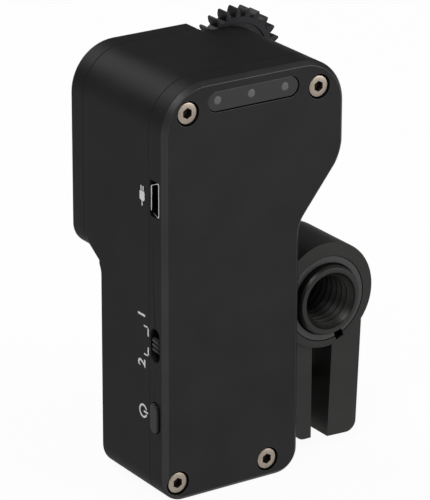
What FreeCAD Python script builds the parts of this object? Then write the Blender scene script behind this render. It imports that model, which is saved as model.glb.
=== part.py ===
"""Follow focus unit: a geared focus drive in a stepped housing, with a clamp for a 15 mm rod.

The frame is in millimetres with +Z up. X is zero in the middle of the narrow lower housing,
Y is zero halfway through its depth, and Z is zero at its flat bottom. The front cover faces -Y.
"""
import FreeCAD, Part
import Sketcher
import math
import os

V = FreeCAD.Vector
doc = FreeCAD.newDocument("FollowFocus")
sheet = doc.addObject("Spreadsheet::Sheet", "Sizes")

SIZES = {
    # Housing outline, seen from the front
    "low_width": 33.0,
    "top_width": 43.4,
    "body_height": 88.6,
    "waist_drop": 34.5,
    "shoulder_drop": 21.3,
    "top_round": 10.0,
    "bottom_round": 5.0,
    "bend_round": 9.0,
    "waist_round": 5.5,
    # Housing layers, measured back from the front face
    "front_depth": 5.4,
    "seam_depth": 30.1,
    "back_depth": 5.0,
    "low_depth": 24.3,
    "ramp_round": 3.0,
    "back_height": 43.1,
    "under_round": 5.0,
    "under_start": 0.3,
    "under_wall": 2.5,
    "ramp_inset": 1.0,
    # Walls and edges
    "side_wall": 1.8,
    "front_wall": 1.4,
    "back_wall": 2.0,
    "web_wall": 2.6,
    "edge_chamfer": 1.0,
    "back_round": 1.0,
    "low_round": 1.0,
    # Clearances
    "fit_gap": 0.02,
    "run_gap": 0.04,
    "free_gap": 0.3,
    # Cap screws that hold the covers
    "cap_head_radius": 2.25,
    "cap_head_length": 2.3,
    "cap_shank_radius": 1.2,
    "cap_shank_length": 9.0,
    "back_shank_length": 6.5,
    "gear_shank_length": 5.0,
    "cap_socket": 2.0,
    "cap_recess": 2.6,
    "cap_well_gap": 0.35,
    "boss_radius": 3.2,
    "left_screw_inset": 5.8,
    "right_screw_inset": 6.4,
    "top_screw_inset": 5.9,
    "low_left_inset": 3.4,
    "low_right_inset": 7.8,
    "low_screw_rise": 4.25,
    "boss_floor": 2.0,
    "screw_run_out": 0.8,
    "back_screw_rise": 5.6,
    "back_screw_inset": 4.6,
    # Small screws inside
    "small_head_radius": 1.5,
    "small_head_length": 1.0,
    "small_shank_radius": 0.8,
    "small_shank_length": 4.0,
    "small_socket": 1.1,
    "post_radius": 2.0,
    # Indicator window and its lamps
    "window_height": 4.4,
    "window_left": 10.4,
    "window_right": 11.2,
    "window_top": 2.45,
    "window_sink": 0.3,
    "window_flange": 0.5,
    "lamp_radius": 0.9,
    "lamp_inset": 2.9,
    "lamp_board_depth": 3.2,
    "lamp_board_thickness": 0.8,
    # Controls in the left side of the front cover
    "slot_depth": 3.3,
    "slot_width": 3.3,
    "port_rise": 65.1,
    "port_length": 7.6,
    "port_shell": 0.3,
    "port_reach": 5.4,
    "tongue_setback": 1.0,
    "slider_rise": 34.0,
    "slider_knob": 3.1,
    "slider_width": 2.3,
    "slider_travel": 1.2,
    "slider_end_gap": 0.85,
    "button_rise": 18.3,
    "button_length": 6.6,
    "button_proud": 0.5,
    "button_travel": 0.4,
    "button_flange": 0.5,
    "switch_reach": 3.6,
    "rib_size": 0.25,
    "rib_pitch": 1.0,
    # Main board
    "board_gap": 0.15,
    "board_thickness": 1.0,
    "board_low": 9.5,
    "board_top_inset": 12.6,
    "board_post_x": 10.5,
    "board_post_left": 4.0,
    "board_post_inset": 4.0,
    "board_post_middle": 26.0,
    # Output gear
    "gear_module": 0.8,
    "gear_teeth": 24,
    "gear_width": 3.2,
    "gear_setback": 2.1,
    "gear_side_inset": 7.2,
    "gear_top_inset": 7.1,
    "gear_pocket_gap": 0.8,
    "axle_radius": 2.0,
    "axle_root": 7.0,
    "axle_boss_wall": 1.5,
    "bush_wall": 1.0,
    "washer_radius": 3.6,
    "washer_thickness": 0.5,
    # Pinion that drives it, and its reduction train
    "pinion_teeth": 12,
    "pinion_bearing": 221.0,
    "train_module": 0.5,
    "small_teeth": 12,
    "wheel_teeth": 30,
    "train_width": 1.8,
    "train_gap": 0.4,
    "idler_bearing": 218.0,
    "motor_bearing": 268.0,
    "shaft_radius": 1.5,
    "bearing_radius": 3.0,
    "bearing_width": 2.0,
    "plate_thickness": 2.0,
    "plate_margin": 3.2,
    "pillar_gap": 1.0,
    "idler_pin_radius": 1.0,
    "idler_pillar_bearing": 142.0,
    "pinion_pillar_bearing": 314.0,
    "motor_pillar_bearing": 170.0,
    # Motor
    "motor_radius": 8.0,
    "motor_clearance": 0.9,
    "motor_wall": 0.6,
    "motor_shaft_radius": 0.75,
    "motor_end_wall": 1.2,
    "motor_cap_thickness": 1.4,
    "magnet_thickness": 1.2,
    "motor_screw_circle": 5.4,
    # Rod clamp
    "clamp_rise": 34.0,
    "clamp_wall": 1.41,
    "ring_wall": 2.21,
    "clamp_bite": 0.35,
    "clamp_length": 15.4,
    "clamp_depth": 5.5,
    "clamp_lip": 2.0,
    "foot_height": 17.0,
    "foot_setback": 3.0,
    "liner_wall": 1.75,
    "liner_slit": 2.0,
    "liner_notch": 0.8,
    "liner_bearing": 291.0,
    "rod_radius": 7.5,
    "rod_length": 60.0,
    "rod_proud": 1.7,
    "thread_radius": 5.1,
    "thread_length": 16.0,
    "thread_lead": 0.9,
    "leg_low": 2.8,
    "leg_round": 2.4,
    "left_leg_width": 4.1,
    "right_leg_width": 7.2,
    "leg_gap": 4.2,
    "leg_setback": 1.2,
    "leg_lean": 2.4,
    "leg_offset": -0.5,
    "leg_overlap": 5.885,
    "clamp_screw_rise": 13.0,
    "clamp_screw_depth": 10.4,
    "clamp_screw_radius": 1.5,
    "clamp_head_radius": 2.75,
    "clamp_head_length": 3.0,
    "clamp_screw_grip": 3.28,
    "clamp_bolt_pitch": 12.4,
    "clamp_bolt_length": 4.0,
}


def write_sheet():
    """Put every driving size in the sheet, under its own name."""
    for row, (alias, value) in enumerate(SIZES.items(), start=1):
        sheet.set(f"A{row}", alias)
        sheet.set(f"B{row}", str(value))
        sheet.setAlias(f"B{row}", alias)
    doc.recompute()


write_sheet()


def size(alias):
    """The plain number that the sheet holds for a size."""
    return float(sheet.get(alias))


class Term:
    """An expression on the sheet's sizes that adds, scales and binds like a number."""

    def __init__(self, text):
        self.text = text.text if isinstance(text, Term) else str(text)

    def __add__(self, other):
        return Term(f"({self.text} + {Term(other).text})")

    def __radd__(self, other):
        return Term(other) + self

    def __sub__(self, other):
        return Term(f"({self.text} - {Term(other).text})")

    def __rsub__(self, other):
        return Term(other) - self

    def __mul__(self, other):
        return Term(f"({self.text} * {Term(other).text})")

    def __rmul__(self, other):
        return Term(other) * self

    def __truediv__(self, other):
        return Term(f"({self.text} / {Term(other).text})")

    def __neg__(self):
        return Term(f"(0 - {self.text})")

    def call(self, function):
        """The same expression inside one of the sheet's functions, such as sqrt or cos."""
        return Term(f"{function}({self.text})")

    def number(self):
        """What the expression comes to with the sheet's present values."""
        return float(sheet.evalExpression(self.text))


class Names:
    """Gives each of the sheet's sizes as an expression: s.low_width."""

    def __getattr__(self, alias):
        return Term(f"Sizes.{alias}")


s = Names()

# Places that many pieces share

FRONT = -s.low_depth / 2
LEFT = -s.low_width / 2
RIGHT_LOW = s.low_width / 2
RIGHT_TOP = LEFT + s.top_width
TOP = s.body_height
WAIST = TOP - s.waist_drop
SHOULDER = TOP - s.shoulder_drop
BACK_LOW = TOP - s.back_height
BOARD_TOP = TOP - s.board_top_inset
SEAM_FRONT = FRONT + s.front_depth
SEAM_BACK = FRONT + s.seam_depth
BACK = SEAM_BACK + s.back_depth
LOW_BACK = FRONT + s.low_depth
GEAR_FRONT = SEAM_BACK - s.gear_setback
WEB_BACK = GEAR_FRONT - s.free_gap
WEB_FRONT = WEB_BACK - s.web_wall
GEAR_X = RIGHT_TOP - s.gear_side_inset
GEAR_Z = TOP - s.gear_top_inset
GEAR_TIP = s.gear_module * (s.gear_teeth / 2 + 1)
PINION_TIP = s.gear_module * (s.pinion_teeth / 2 + 1)
LINER_RADIUS = s.rod_radius + s.run_gap + s.liner_wall
CLAMP_RADIUS = LINER_RADIUS + s.clamp_wall
RING_RADIUS = LINER_RADIUS + s.ring_wall
CLAMP_X = RIGHT_LOW + CLAMP_RADIUS - s.clamp_bite
CLAMP_FRONT = FRONT + s.clamp_depth
CLAMP_BACK = CLAMP_FRONT + s.clamp_length

NODES = []
PAST = 1  # how far a cutting shape runs past the face that it opens


def bearing_point(x, z, distance, bearing):
    """A point at a distance from (x, z), at a bearing in degrees from +X towards +Z."""
    turn = bearing * Term("1 deg")
    return x + distance * turn.call("cos"), z + distance * turn.call("sin")


PINION_X, PINION_Z = bearing_point(
    GEAR_X, GEAR_Z, s.gear_module * (s.gear_teeth + s.pinion_teeth) / 2, s.pinion_bearing)
WHEEL_TIP = s.train_module * (s.wheel_teeth / 2 + 1)
TRAIN_SPAN = s.train_module * (s.small_teeth + s.wheel_teeth) / 2
IDLER_X, IDLER_Z = bearing_point(PINION_X, PINION_Z, TRAIN_SPAN, s.idler_bearing)
MOTOR_X, MOTOR_Z = bearing_point(IDLER_X, IDLER_Z, TRAIN_SPAN, s.motor_bearing)
REAR_WHEELS = WEB_FRONT - s.train_gap - s.train_width
FRONT_WHEELS = REAR_WHEELS - s.train_gap / 2 - s.train_width
PLATE_BACK = FRONT_WHEELS - s.train_gap
PLATE_FRONT = PLATE_BACK - s.plate_thickness


# Building blocks

TURNS = {
    "+Z": FreeCAD.Rotation(),
    "+Y": FreeCAD.Rotation(V(1, 0, 0), -90),
    "-Y": FreeCAD.Rotation(V(1, 0, 0), 90),
    "+X": FreeCAD.Rotation(V(0, 1, 0), 90),
    "-X": FreeCAD.Rotation(V(0, 1, 0), -90),
}


def bind(thing, **values):
    """Tie properties of an object to expressions."""
    for name, value in values.items():
        thing.setExpression(name, Term(value).text)


def place(thing, at, way="+Z"):
    """Turn an object's own Z along a direction and tie its place to three expressions."""
    thing.Placement = FreeCAD.Placement(V(), TURNS[way])
    for axis, value in zip("xyz", at):
        thing.setExpression(f"Placement.Base.{axis}", Term(value).text)
    return thing


def box(x_range, y_range, z_range):
    """A block between two places on each axis."""
    block = doc.addObject("Part::Box", "block")
    spans = [Term(high) - Term(low) for low, high in (x_range, y_range, z_range)]
    bind(block, Length=spans[0], Width=spans[1], Height=spans[2])
    return place(block, (x_range[0], y_range[0], z_range[0]))


def post(radius, length, at, way="+Y"):
    """A round bar from a point, along a direction."""
    bar = doc.addObject("Part::Cylinder", "bar")
    bind(bar, Radius=radius, Height=length)
    return place(bar, at, way)


def cone(first, second, length, at, way="+Y"):
    """A tapered bar from a point, along a direction."""
    bar = doc.addObject("Part::Cone", "taper")
    bind(bar, Radius1=first, Radius2=second, Height=length)
    return place(bar, at, way)


def hexagon(across, length, at, way):
    """A six-sided bar, sized across its flats."""
    bar = doc.addObject("Part::Prism", "hexagon")
    bar.Polygon = 6
    bind(bar, Circumradius=Term(across) / math.sqrt(3), Height=length)
    return place(bar, at, way)


def join(*parts):
    """Several overlapping shapes as one."""
    if len(parts) == 1:
        return parts[0]
    joined = doc.addObject("Part::MultiFuse", "joined")
    joined.Shapes = list(parts)
    joined.Refine = True
    return joined


def cut(base, *tools):
    """A shape with others taken out of it."""
    result = doc.addObject("Part::Cut", "cut")
    result.Base = base
    result.Tool = join(*tools)
    result.Refine = True
    return result


def common(first, second):
    """What two shapes share."""
    result = doc.addObject("Part::Common", "common")
    result.Base = first
    result.Tool = second
    return result


def group(*parts):
    """Separate solids that belong to one node."""
    together = doc.addObject("Part::Compound", "group")
    together.Links = list(parts)
    return together


def node(name, thing):
    """Name a finished piece."""
    thing.Label = name
    NODES.append(thing)
    return thing


def soften(thing, radius, wanted, kind="Part::Fillet", front_radius=None):
    """Round, or with a chamfer break, the edges that a test on their middle point picks.

    A front radius makes the round grow from it, at an edge's front end, to the full radius.
    """
    doc.recompute()
    amount = Term(radius).number()
    front_amount = amount if front_radius is None else Term(front_radius).number()
    picked = []
    for index, edge in enumerate(thing.Shape.Edges, start=1):
        middle = edge.valueAt((edge.FirstParameter + edge.LastParameter) / 2)
        if wanted(edge, middle):
            forward = edge.firstVertex().Point.y < middle.y
            ends = (front_amount, amount) if forward else (amount, front_amount)
            picked.append((index, *ends))
    softened = doc.addObject(kind, "softened")
    softened.Base = thing
    softened.Edges = picked
    return softened


def slot_bar(length, width, depth, centre, way):
    """A bar with round ends that is long in Z, pushed from its centre along X."""
    x, y, z = centre
    half = (Term(length) - width) / 2
    sign = "+X" if way == "+X" else "-X"
    ends = [post(Term(width) / 2, depth, (x, y, z + half * side), sign) for side in (-1, 1)]
    start = x if way == "+X" else x - depth
    middle = box((start, start + depth), (y - Term(width) / 2, y + Term(width) / 2),
                 (z - half, z + half))
    return join(middle, *ends)


def outline(inset, start, depth):
    """The housing's stepped outline, drawn in from the real one by an inset, and pushed back."""
    inset = Term(inset)
    lean = (s.waist_drop - s.shoulder_drop) / (s.top_width - s.low_width)
    lift = inset * ((1 + lean * lean).call("sqrt") - lean)
    corners = [
        (LEFT + inset, inset, s.bottom_round - inset),
        (RIGHT_LOW - inset, inset, s.bottom_round - inset),
        (RIGHT_LOW - inset, WAIST + lift, s.waist_round + inset),
        (RIGHT_TOP - inset, SHOULDER + lift, s.bend_round - inset),
        (RIGHT_TOP - inset, TOP - inset, s.top_round - inset),
        (LEFT + inset, TOP - inset, s.top_round - inset),
    ]
    body = doc.addObject("PartDesign::Body", "outline")
    plane = [item for item in body.Origin.OriginFeatures if item.Role == "XZ_Plane"][0]
    sketch = body.newObject("Sketcher::SketchObject", "outline_sketch")
    sketch.AttachmentSupport = (plane, [""])
    sketch.MapMode = "FlatFace"
    bind(sketch, **{"AttachmentOffset.Base.z": -Term(start)})
    places = [V(x.number(), z.number(), 0) for x, z, _ in corners]
    for index, here in enumerate(places):
        sketch.addGeometry(Part.LineSegment(here, places[(index + 1) % len(places)]))
    for index in range(len(places)):
        after = (index + 1) % len(places)
        sketch.addConstraint(Sketcher.Constraint("Coincident", index, 2, after, 1))
    for index, (x, z, _) in enumerate(corners):
        for kind, value in (("DistanceX", x), ("DistanceY", z)):
            number = sketch.addConstraint(
                Sketcher.Constraint(kind, -1, 1, index, 1, value.number()))
            sketch.setExpression(f"Constraints[{number}]", value.text)
    pad = body.newObject("PartDesign::Pad", "outline_pad")
    pad.Profile = sketch
    pad.Reversed = True
    bind(pad, Length=depth)
    doc.recompute()
    last = pad
    for x, z, radius in corners:
        name = edge_at(last.Shape, x.number(), z.number())
        rounded = body.newObject("PartDesign::Fillet", "corner")
        rounded.Base = (last, [name])
        bind(rounded, Radius=radius)
        doc.recompute()
        last = rounded
    body.Tip = last
    return body


def edge_at(shape, x, z):
    """The name of the straight edge along Y that passes a place seen from the front."""
    best = None
    for index, edge in enumerate(shape.Edges, start=1):
        box_of_edge = edge.BoundBox
        if box_of_edge.YLength < 0.1 or box_of_edge.XLength + box_of_edge.ZLength > 1e-4:
            continue
        miss = math.hypot(box_of_edge.Center.x - x, box_of_edge.Center.z - z)
        if best is None or miss < best[0]:
            best = (miss, f"Edge{index}")
    return best[1]


def cap_screw(head_radius, head_length, shank_radius, shank_length, socket, at, way):
    """A cap screw whose head sits on a point and whose shank goes on from it."""
    x, y, z = (Term(value) for value in at)
    back = {"+Y": "-Y", "-Y": "+Y", "+X": "-X", "-X": "+X"}[way]
    head = post(head_radius, head_length, (x, y, z), back)
    shank = post(shank_radius, shank_length, (x, y, z), way)
    step = {"+Y": (0, -1, 0), "-Y": (0, 1, 0), "+X": (-1, 0, 0), "-X": (1, 0, 0)}[way]
    top = [value + Term(head_length) * side for value, side in zip((x, y, z), step)]
    drive = hexagon(socket, Term(head_length) / 2, top, way)
    return cut(join(head, shank), drive)


def gear_points(module, teeth, slack, phase):
    """Corners of a spur gear's outline, one tooth centred on the phase in radians."""
    pitch = module * teeth / 2
    base = pitch * math.cos(math.radians(20))
    tip = pitch + module
    root = pitch - 1.25 * module
    spread = math.tan(math.radians(20)) - math.radians(20)
    half_tooth = math.pi / (2 * teeth) - slack / (2 * pitch)

    def half_angle(radius):
        if radius <= base:
            return half_tooth + spread
        roll = math.acos(base / radius)
        return half_tooth + spread - (math.tan(roll) - roll)

    start = max(base, root)
    radii = [root] + [start + (tip - start) * step / 3 for step in range(1, 4)]
    points = []
    for number in range(teeth):
        middle = phase + 2 * math.pi * number / teeth
        flank = [(radius, middle - half_angle(radius)) for radius in radii]
        flank += [(radius, middle + half_angle(radius)) for radius in reversed(radii)]
        points += [V(radius * math.cos(angle), 0, radius * math.sin(angle)) for radius, angle in flank]
    return points


def gear(module, teeth, width, slack, phase, centre, start, bore, hub=None):
    """A spur gear with its axis along Y, and a hub if one is given as a radius and two places."""
    x, z = (value.number() for value in centre)
    points = gear_points(module.number(), int(teeth.number()), slack, phase)
    wire = Part.makePolygon(points + points[:1])
    solid = Part.Face(wire).extrude(V(0, width.number(), 0))
    solid.translate(V(0, start.number(), 0))
    if hub:
        radius, low, high = (Term(value).number() for value in hub)
        solid = solid.fuse(Part.makeCylinder(radius, high - low, V(0, low, 0), V(0, 1, 0)))
    far = 100
    solid = solid.cut(Part.makeCylinder(bore.number(), 2 * far, V(0, -far, 0), V(0, 1, 0)))
    thing = doc.addObject("Part::Feature", "gear")
    thing.Shape = solid.removeSplitter()
    thing.Placement = FreeCAD.Placement(V(x, 0, z), FreeCAD.Rotation())
    return thing


def meshing_phase(first_phase, first_teeth, first_centre, second_teeth, second_centre):
    """The phase that puts a gap of the second gear where the first gear's tooth comes."""
    ax, az = (value.number() for value in first_centre)
    bx, bz = (value.number() for value in second_centre)
    line = math.atan2(bz - az, bx - ax)
    along = ((line - first_phase) * first_teeth / (2 * math.pi)) % 1
    return line + math.pi - (0.5 - along) * 2 * math.pi / second_teeth


# Places of the screws

COVER_SCREWS = [
    (LEFT + s.left_screw_inset, TOP - s.top_screw_inset),
    (RIGHT_TOP - s.right_screw_inset, TOP - s.top_screw_inset),
    (LEFT + s.low_left_inset, s.low_screw_rise),
    (RIGHT_LOW - s.low_right_inset, s.low_screw_rise),
]
BACK_SCREWS = [
    (LEFT + s.left_screw_inset, TOP - s.top_screw_inset),
    (LEFT + s.left_screw_inset, BACK_LOW + s.back_screw_rise),
    (RIGHT_LOW - s.back_screw_inset, BACK_LOW + s.back_screw_rise),
]
PILLARS = [
    bearing_point(IDLER_X, IDLER_Z, WHEEL_TIP + s.post_radius + s.pillar_gap,
                  s.idler_pillar_bearing),
    bearing_point(PINION_X, PINION_Z, WHEEL_TIP + s.post_radius + s.pillar_gap,
                  s.pinion_pillar_bearing),
    bearing_point(MOTOR_X, MOTOR_Z, s.motor_radius + s.post_radius + s.pillar_gap,
                  s.motor_pillar_bearing),
]
BOARD_POSTS = [
    (s.board_post_x, BOARD_TOP - s.board_post_inset),
    (s.board_post_x, s.board_low + s.board_post_middle),
    (-s.board_post_left, s.board_low + s.board_post_inset),
]
MOTOR_SCREWS = [bearing_point(MOTOR_X, MOTOR_Z, s.motor_screw_circle, turn) for turn in (210, 330)]
CAP_WELL = s.cap_head_radius + s.cap_well_gap
SCREW_SEAT = FRONT + s.cap_recess
SCREW_TIP = SCREW_SEAT + s.cap_shank_length
BACK_SEAT = BACK - s.cap_recess
SLOT_Y = FRONT + s.slot_depth
BOARD_FRONT = SLOT_Y + s.slot_width / 2 + s.board_gap
BOARD_BACK = BOARD_FRONT + s.board_thickness
MOTOR_FRONT = BOARD_BACK + s.motor_clearance
SLIDER_SLOT = s.slider_knob + 2 * (s.slider_travel + s.slider_end_gap)
WINDOW_LENGTH = s.top_width - s.window_left - s.window_right
SLIT_X = CLAMP_X + s.leg_offset


# Housing

def under_corners(edge, middle):
    """Whether an edge is one of the two lower corners of the deep upper housing."""
    return (abs(middle.z - BACK_LOW.number()) < 1e-4
            and edge.BoundBox.XLength + edge.BoundBox.ZLength < 1e-4)


def middle_block():
    """The middle shell's outside: deep above, shallow below, with a hollow ramp under the step."""
    depth = s.seam_depth - s.front_depth
    back = LOW_BACK.number()
    low_top = BACK_LOW.number() - 1e-4
    wide = (LEFT - PAST, RIGHT_TOP + PAST)
    shallow = (SEAM_FRONT - PAST, LOW_BACK)
    low = soften(common(outline(0, SEAM_FRONT, depth), box(wide, shallow, (-PAST, BACK_LOW))),
                 s.low_round,
                 lambda edge, middle: abs(middle.y - back) < 1e-4 and edge.BoundBox.YLength < 1e-4
                 and middle.z < low_top)
    above = (BACK_LOW, TOP + PAST)
    high = common(outline(0, SEAM_FRONT, depth), box(wide, shallow, above))
    behind = box(wide, (LOW_BACK, SEAM_BACK + PAST), above)
    deep = soften(common(outline(0, SEAM_FRONT, depth), behind), s.under_round, under_corners,
                  front_radius=s.under_start)
    ramp_x = (LEFT + s.ramp_inset, RIGHT_LOW - s.ramp_inset)
    fill = box(ramp_x, (LOW_BACK - PAST, LOW_BACK + s.ramp_round),
               (BACK_LOW - s.ramp_round, BACK_LOW + PAST))
    hollow = post(s.ramp_round, s.low_width,
                  (LEFT, LOW_BACK + s.ramp_round, BACK_LOW - s.ramp_round), "+X")
    return join(low, high, deep, cut(fill, hollow))


def gear_pockets(start, length, grow=0):
    """Room for the output gear and for the pinion that drives it."""
    gap = s.gear_pocket_gap + grow
    wheel = post(GEAR_TIP + gap, length, (GEAR_X, start, GEAR_Z))
    pinion = post(PINION_TIP + gap, length, (PINION_X, start, PINION_Z))
    return wheel, pinion


def side_slots():
    """Openings for the port, the slider and the button in the left side of the front cover."""
    start = LEFT - PAST
    reach = s.side_wall + 2 * PAST
    half = s.slot_width / 2
    port = box((start, start + reach), (SLOT_Y - half, SLOT_Y + half),
               (s.port_rise - s.port_length / 2, s.port_rise + s.port_length / 2))
    slider = slot_bar(SLIDER_SLOT, s.slot_width, reach, (start, SLOT_Y, s.slider_rise), "+X")
    button = slot_bar(s.button_length + s.free_gap, s.slot_width, reach,
                      (start, SLOT_Y, s.button_rise), "+X")
    return port, slider, button


def window_bar(grow, start, depth):
    """A bar with round ends behind the indicator window, grown by a margin."""
    radius = s.window_height / 2
    z = TOP - s.window_top - radius
    ends = [LEFT + s.window_left + radius, RIGHT_TOP - s.window_right - radius]
    rounds = [post(radius + grow, depth, (x, start, z)) for x in ends]
    middle = box((ends[0], ends[1]), (start, start + depth), (z - radius - grow, z + radius + grow))
    return join(middle, *rounds)


def front_cover():
    """The flat front shell with its broken edge, screw wells, window and side openings."""
    front = FRONT.number()
    shell = soften(outline(0, FRONT, s.front_depth), s.edge_chamfer,
                   lambda edge, middle: abs(middle.y - front) < 1e-4 and edge.BoundBox.YLength < 1e-4,
                   "Part::Chamfer")
    inside = FRONT + s.front_wall
    bosses = [post(s.boss_radius, s.front_depth, (x, FRONT, z)) for x, z in COVER_SCREWS]
    posts = [post(s.post_radius, BOARD_FRONT - FRONT, (x, FRONT, z)) for x, z in BOARD_POSTS]
    hollow = cut(outline(s.side_wall, inside, s.front_depth), *bosses, *posts)
    wells = [post(CAP_WELL, s.cap_recess + PAST, (x, FRONT - PAST, z)) for x, z in COVER_SCREWS]
    holes = [post(s.cap_shank_radius + s.free_gap, s.front_depth, (x, SCREW_SEAT - PAST, z))
             for x, z in COVER_SCREWS]
    pilots = [post(s.small_shank_radius + s.fit_gap, s.small_shank_length, (x, BOARD_FRONT, z), "-Y")
              for x, z in BOARD_POSTS]
    window = window_bar(s.fit_gap, FRONT - PAST, s.front_wall + 2 * PAST)
    return node("front_cover", cut(shell, hollow, window, *wells, *holes, *pilots, *side_slots()))


def main_housing():
    """The deep middle shell: cover bosses in front, gear recess and bearing seats at the back."""
    hole_end = SCREW_TIP + s.screw_run_out
    bosses = [post(s.boss_radius, hole_end + s.boss_floor - SEAM_FRONT, (x, SEAM_FRONT, z))
              for x, z in COVER_SCREWS]
    pillars = [post(s.post_radius, WEB_FRONT - PLATE_BACK, (x, PLATE_BACK, z)) for x, z in PILLARS]
    axle_boss = post(s.axle_radius + s.axle_boss_wall, s.axle_root, (GEAR_X, WEB_BACK, GEAR_Z), "-Y")
    behind = box((LEFT, RIGHT_LOW), (LOW_BACK - s.side_wall, WEB_BACK), (0, BACK_LOW + s.side_wall))
    hollow = cut(outline(s.side_wall, SEAM_FRONT - PAST, WEB_FRONT - SEAM_FRONT + PAST),
                 behind, *bosses, *pillars, axle_boss)
    cap_holes = [post(s.cap_shank_radius + s.fit_gap, hole_end - SEAM_FRONT + PAST,
                      (x, SEAM_FRONT - PAST, z)) for x, z in COVER_SCREWS]
    back_holes = [post(s.cap_shank_radius + s.fit_gap, s.back_shank_length, (x, BACK_SEAT, z), "-Y")
                  for x, z in BACK_SCREWS]
    pilots = [post(s.small_shank_radius + s.fit_gap, s.small_shank_length, (x, PLATE_FRONT, z))
              for x, z in PILLARS]
    axle_bore = post(s.axle_radius + s.fit_gap, s.axle_root + 2 * PAST,
                    (GEAR_X, WEB_BACK + PAST, GEAR_Z), "-Y")
    seat = post(s.bearing_radius + s.fit_gap, s.bearing_width + PAST,
                (PINION_X, WEB_FRONT - PAST, PINION_Z))
    shaft_hole = post(s.shaft_radius + s.free_gap, s.web_wall + 2 * PAST,
                      (PINION_X, WEB_FRONT - PAST, PINION_Z))
    pin_seat = post(s.idler_pin_radius + s.fit_gap, s.bearing_width + PAST,
                    (IDLER_X, WEB_FRONT - PAST, IDLER_Z))
    bolts = [post(s.cap_shank_radius + s.fit_gap, s.side_wall + 2 * PAST,
                  (RIGHT_LOW - s.side_wall - PAST, y, z), "+X") for y, z in clamp_bolt_places()]
    return node("main_housing", cut(middle_block(), hollow,
                                    *gear_pockets(WEB_BACK, BACK - WEB_BACK), seat, *cap_holes,
                                    *back_holes, *pilots, axle_bore, shaft_hole, pin_seat,
                                    *bolts))


def back_cover():
    """The shallow rear shell over the upper housing, open at its corner for the output gear."""
    rear = BACK.number()
    whole = common(outline(0, SEAM_BACK, s.back_depth),
                   box((LEFT - PAST, RIGHT_TOP + PAST), (SEAM_BACK, BACK), (BACK_LOW, TOP + PAST)))
    shell = soften(soften(whole, s.under_round, under_corners), s.back_round,
                   lambda edge, middle: abs(middle.y - rear) < 1e-4
                   and edge.BoundBox.YLength < 1e-4)
    bosses = [post(s.boss_radius, s.back_depth, (x, SEAM_BACK, z)) for x, z in BACK_SCREWS]
    collar = post(GEAR_TIP + s.gear_pocket_gap + s.front_wall, s.back_depth,
                  (GEAR_X, SEAM_BACK, GEAR_Z))
    inside = common(outline(s.side_wall, SEAM_BACK - PAST, s.back_depth - s.back_wall + PAST),
                    box((LEFT, RIGHT_TOP), (SEAM_BACK - PAST, BACK),
                        (BACK_LOW + s.under_wall, TOP)))
    hollow = cut(inside, *bosses, collar)
    wheel, pinion = gear_pockets(SEAM_BACK - PAST, s.back_depth + 2 * PAST)
    pinion_room = common(pinion, box((LEFT, RIGHT_TOP),
                                     (SEAM_BACK - PAST, BACK - s.back_wall), (0, TOP)))
    wells = [post(CAP_WELL, s.cap_recess + PAST, (x, BACK + PAST, z), "-Y") for x, z in BACK_SCREWS]
    holes = [post(s.cap_shank_radius + s.free_gap, s.back_depth, (x, BACK_SEAT + PAST, z), "-Y")
             for x, z in BACK_SCREWS]
    return node("back_cover", cut(shell, hollow, wheel, pinion_room, *wells, *holes))


def cover_screws():
    """Four cap screws sunk in the front cover."""
    screws = [cap_screw(s.cap_head_radius, s.cap_head_length, s.cap_shank_radius, s.cap_shank_length,
                        s.cap_socket, (x, SCREW_SEAT, z), "+Y") for x, z in COVER_SCREWS]
    return node("front_cover_screws", group(*screws))


def back_screws():
    """Three cap screws sunk in the back cover."""
    screws = [cap_screw(s.cap_head_radius, s.cap_head_length, s.cap_shank_radius, s.back_shank_length,
                        s.cap_socket, (x, BACK_SEAT, z), "-Y") for x, z in BACK_SCREWS]
    return node("back_cover_screws", group(*screws))


# Indicator lamps

def indicator():
    """The tinted window, three lamps behind it and the small board that carries them."""
    face = window_bar(-s.fit_gap, FRONT + s.window_sink, s.front_wall - s.window_sink)
    flange = window_bar(s.window_flange, FRONT + s.front_wall, s.window_flange)
    node("indicator_window", join(face, flange))
    board_front = FRONT + s.lamp_board_depth
    middle_x = LEFT + s.window_left + WINDOW_LENGTH / 2
    z = TOP - s.window_top - s.window_height / 2
    back_of_window = FRONT + s.front_wall + s.window_flange + s.free_gap
    pitch = WINDOW_LENGTH / 2 - s.lamp_inset
    lamps = [post(s.lamp_radius, board_front - back_of_window,
                  (middle_x + pitch * side, back_of_window, z)) for side in (-1, 0, 1)]
    node("indicator_lamps", group(*lamps))
    half = WINDOW_LENGTH / 2
    board = box((middle_x - half, middle_x + half),
                (board_front, board_front + s.lamp_board_thickness),
                (z - s.window_height / 2, z + s.window_height / 2))
    node("lamp_board", board)


# Controls and main board

def main_board():
    """The circuit board, screwed to the posts of the front cover."""
    half = s.low_width / 2 - s.side_wall - s.free_gap
    board = box((-half, half), (BOARD_FRONT, BOARD_BACK), (s.board_low, BOARD_TOP))
    holes = [post(s.small_shank_radius + s.free_gap, s.board_thickness + 2 * PAST,
                  (x, BOARD_FRONT - PAST, z)) for x, z in BOARD_POSTS]
    node("main_board", cut(board, *holes))
    screws = [cap_screw(s.small_head_radius, s.small_head_length, s.small_shank_radius,
                        s.small_shank_length, s.small_socket, (x, BOARD_BACK, z), "-Y")
              for x, z in BOARD_POSTS]
    node("board_screws", group(*screws))


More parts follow.
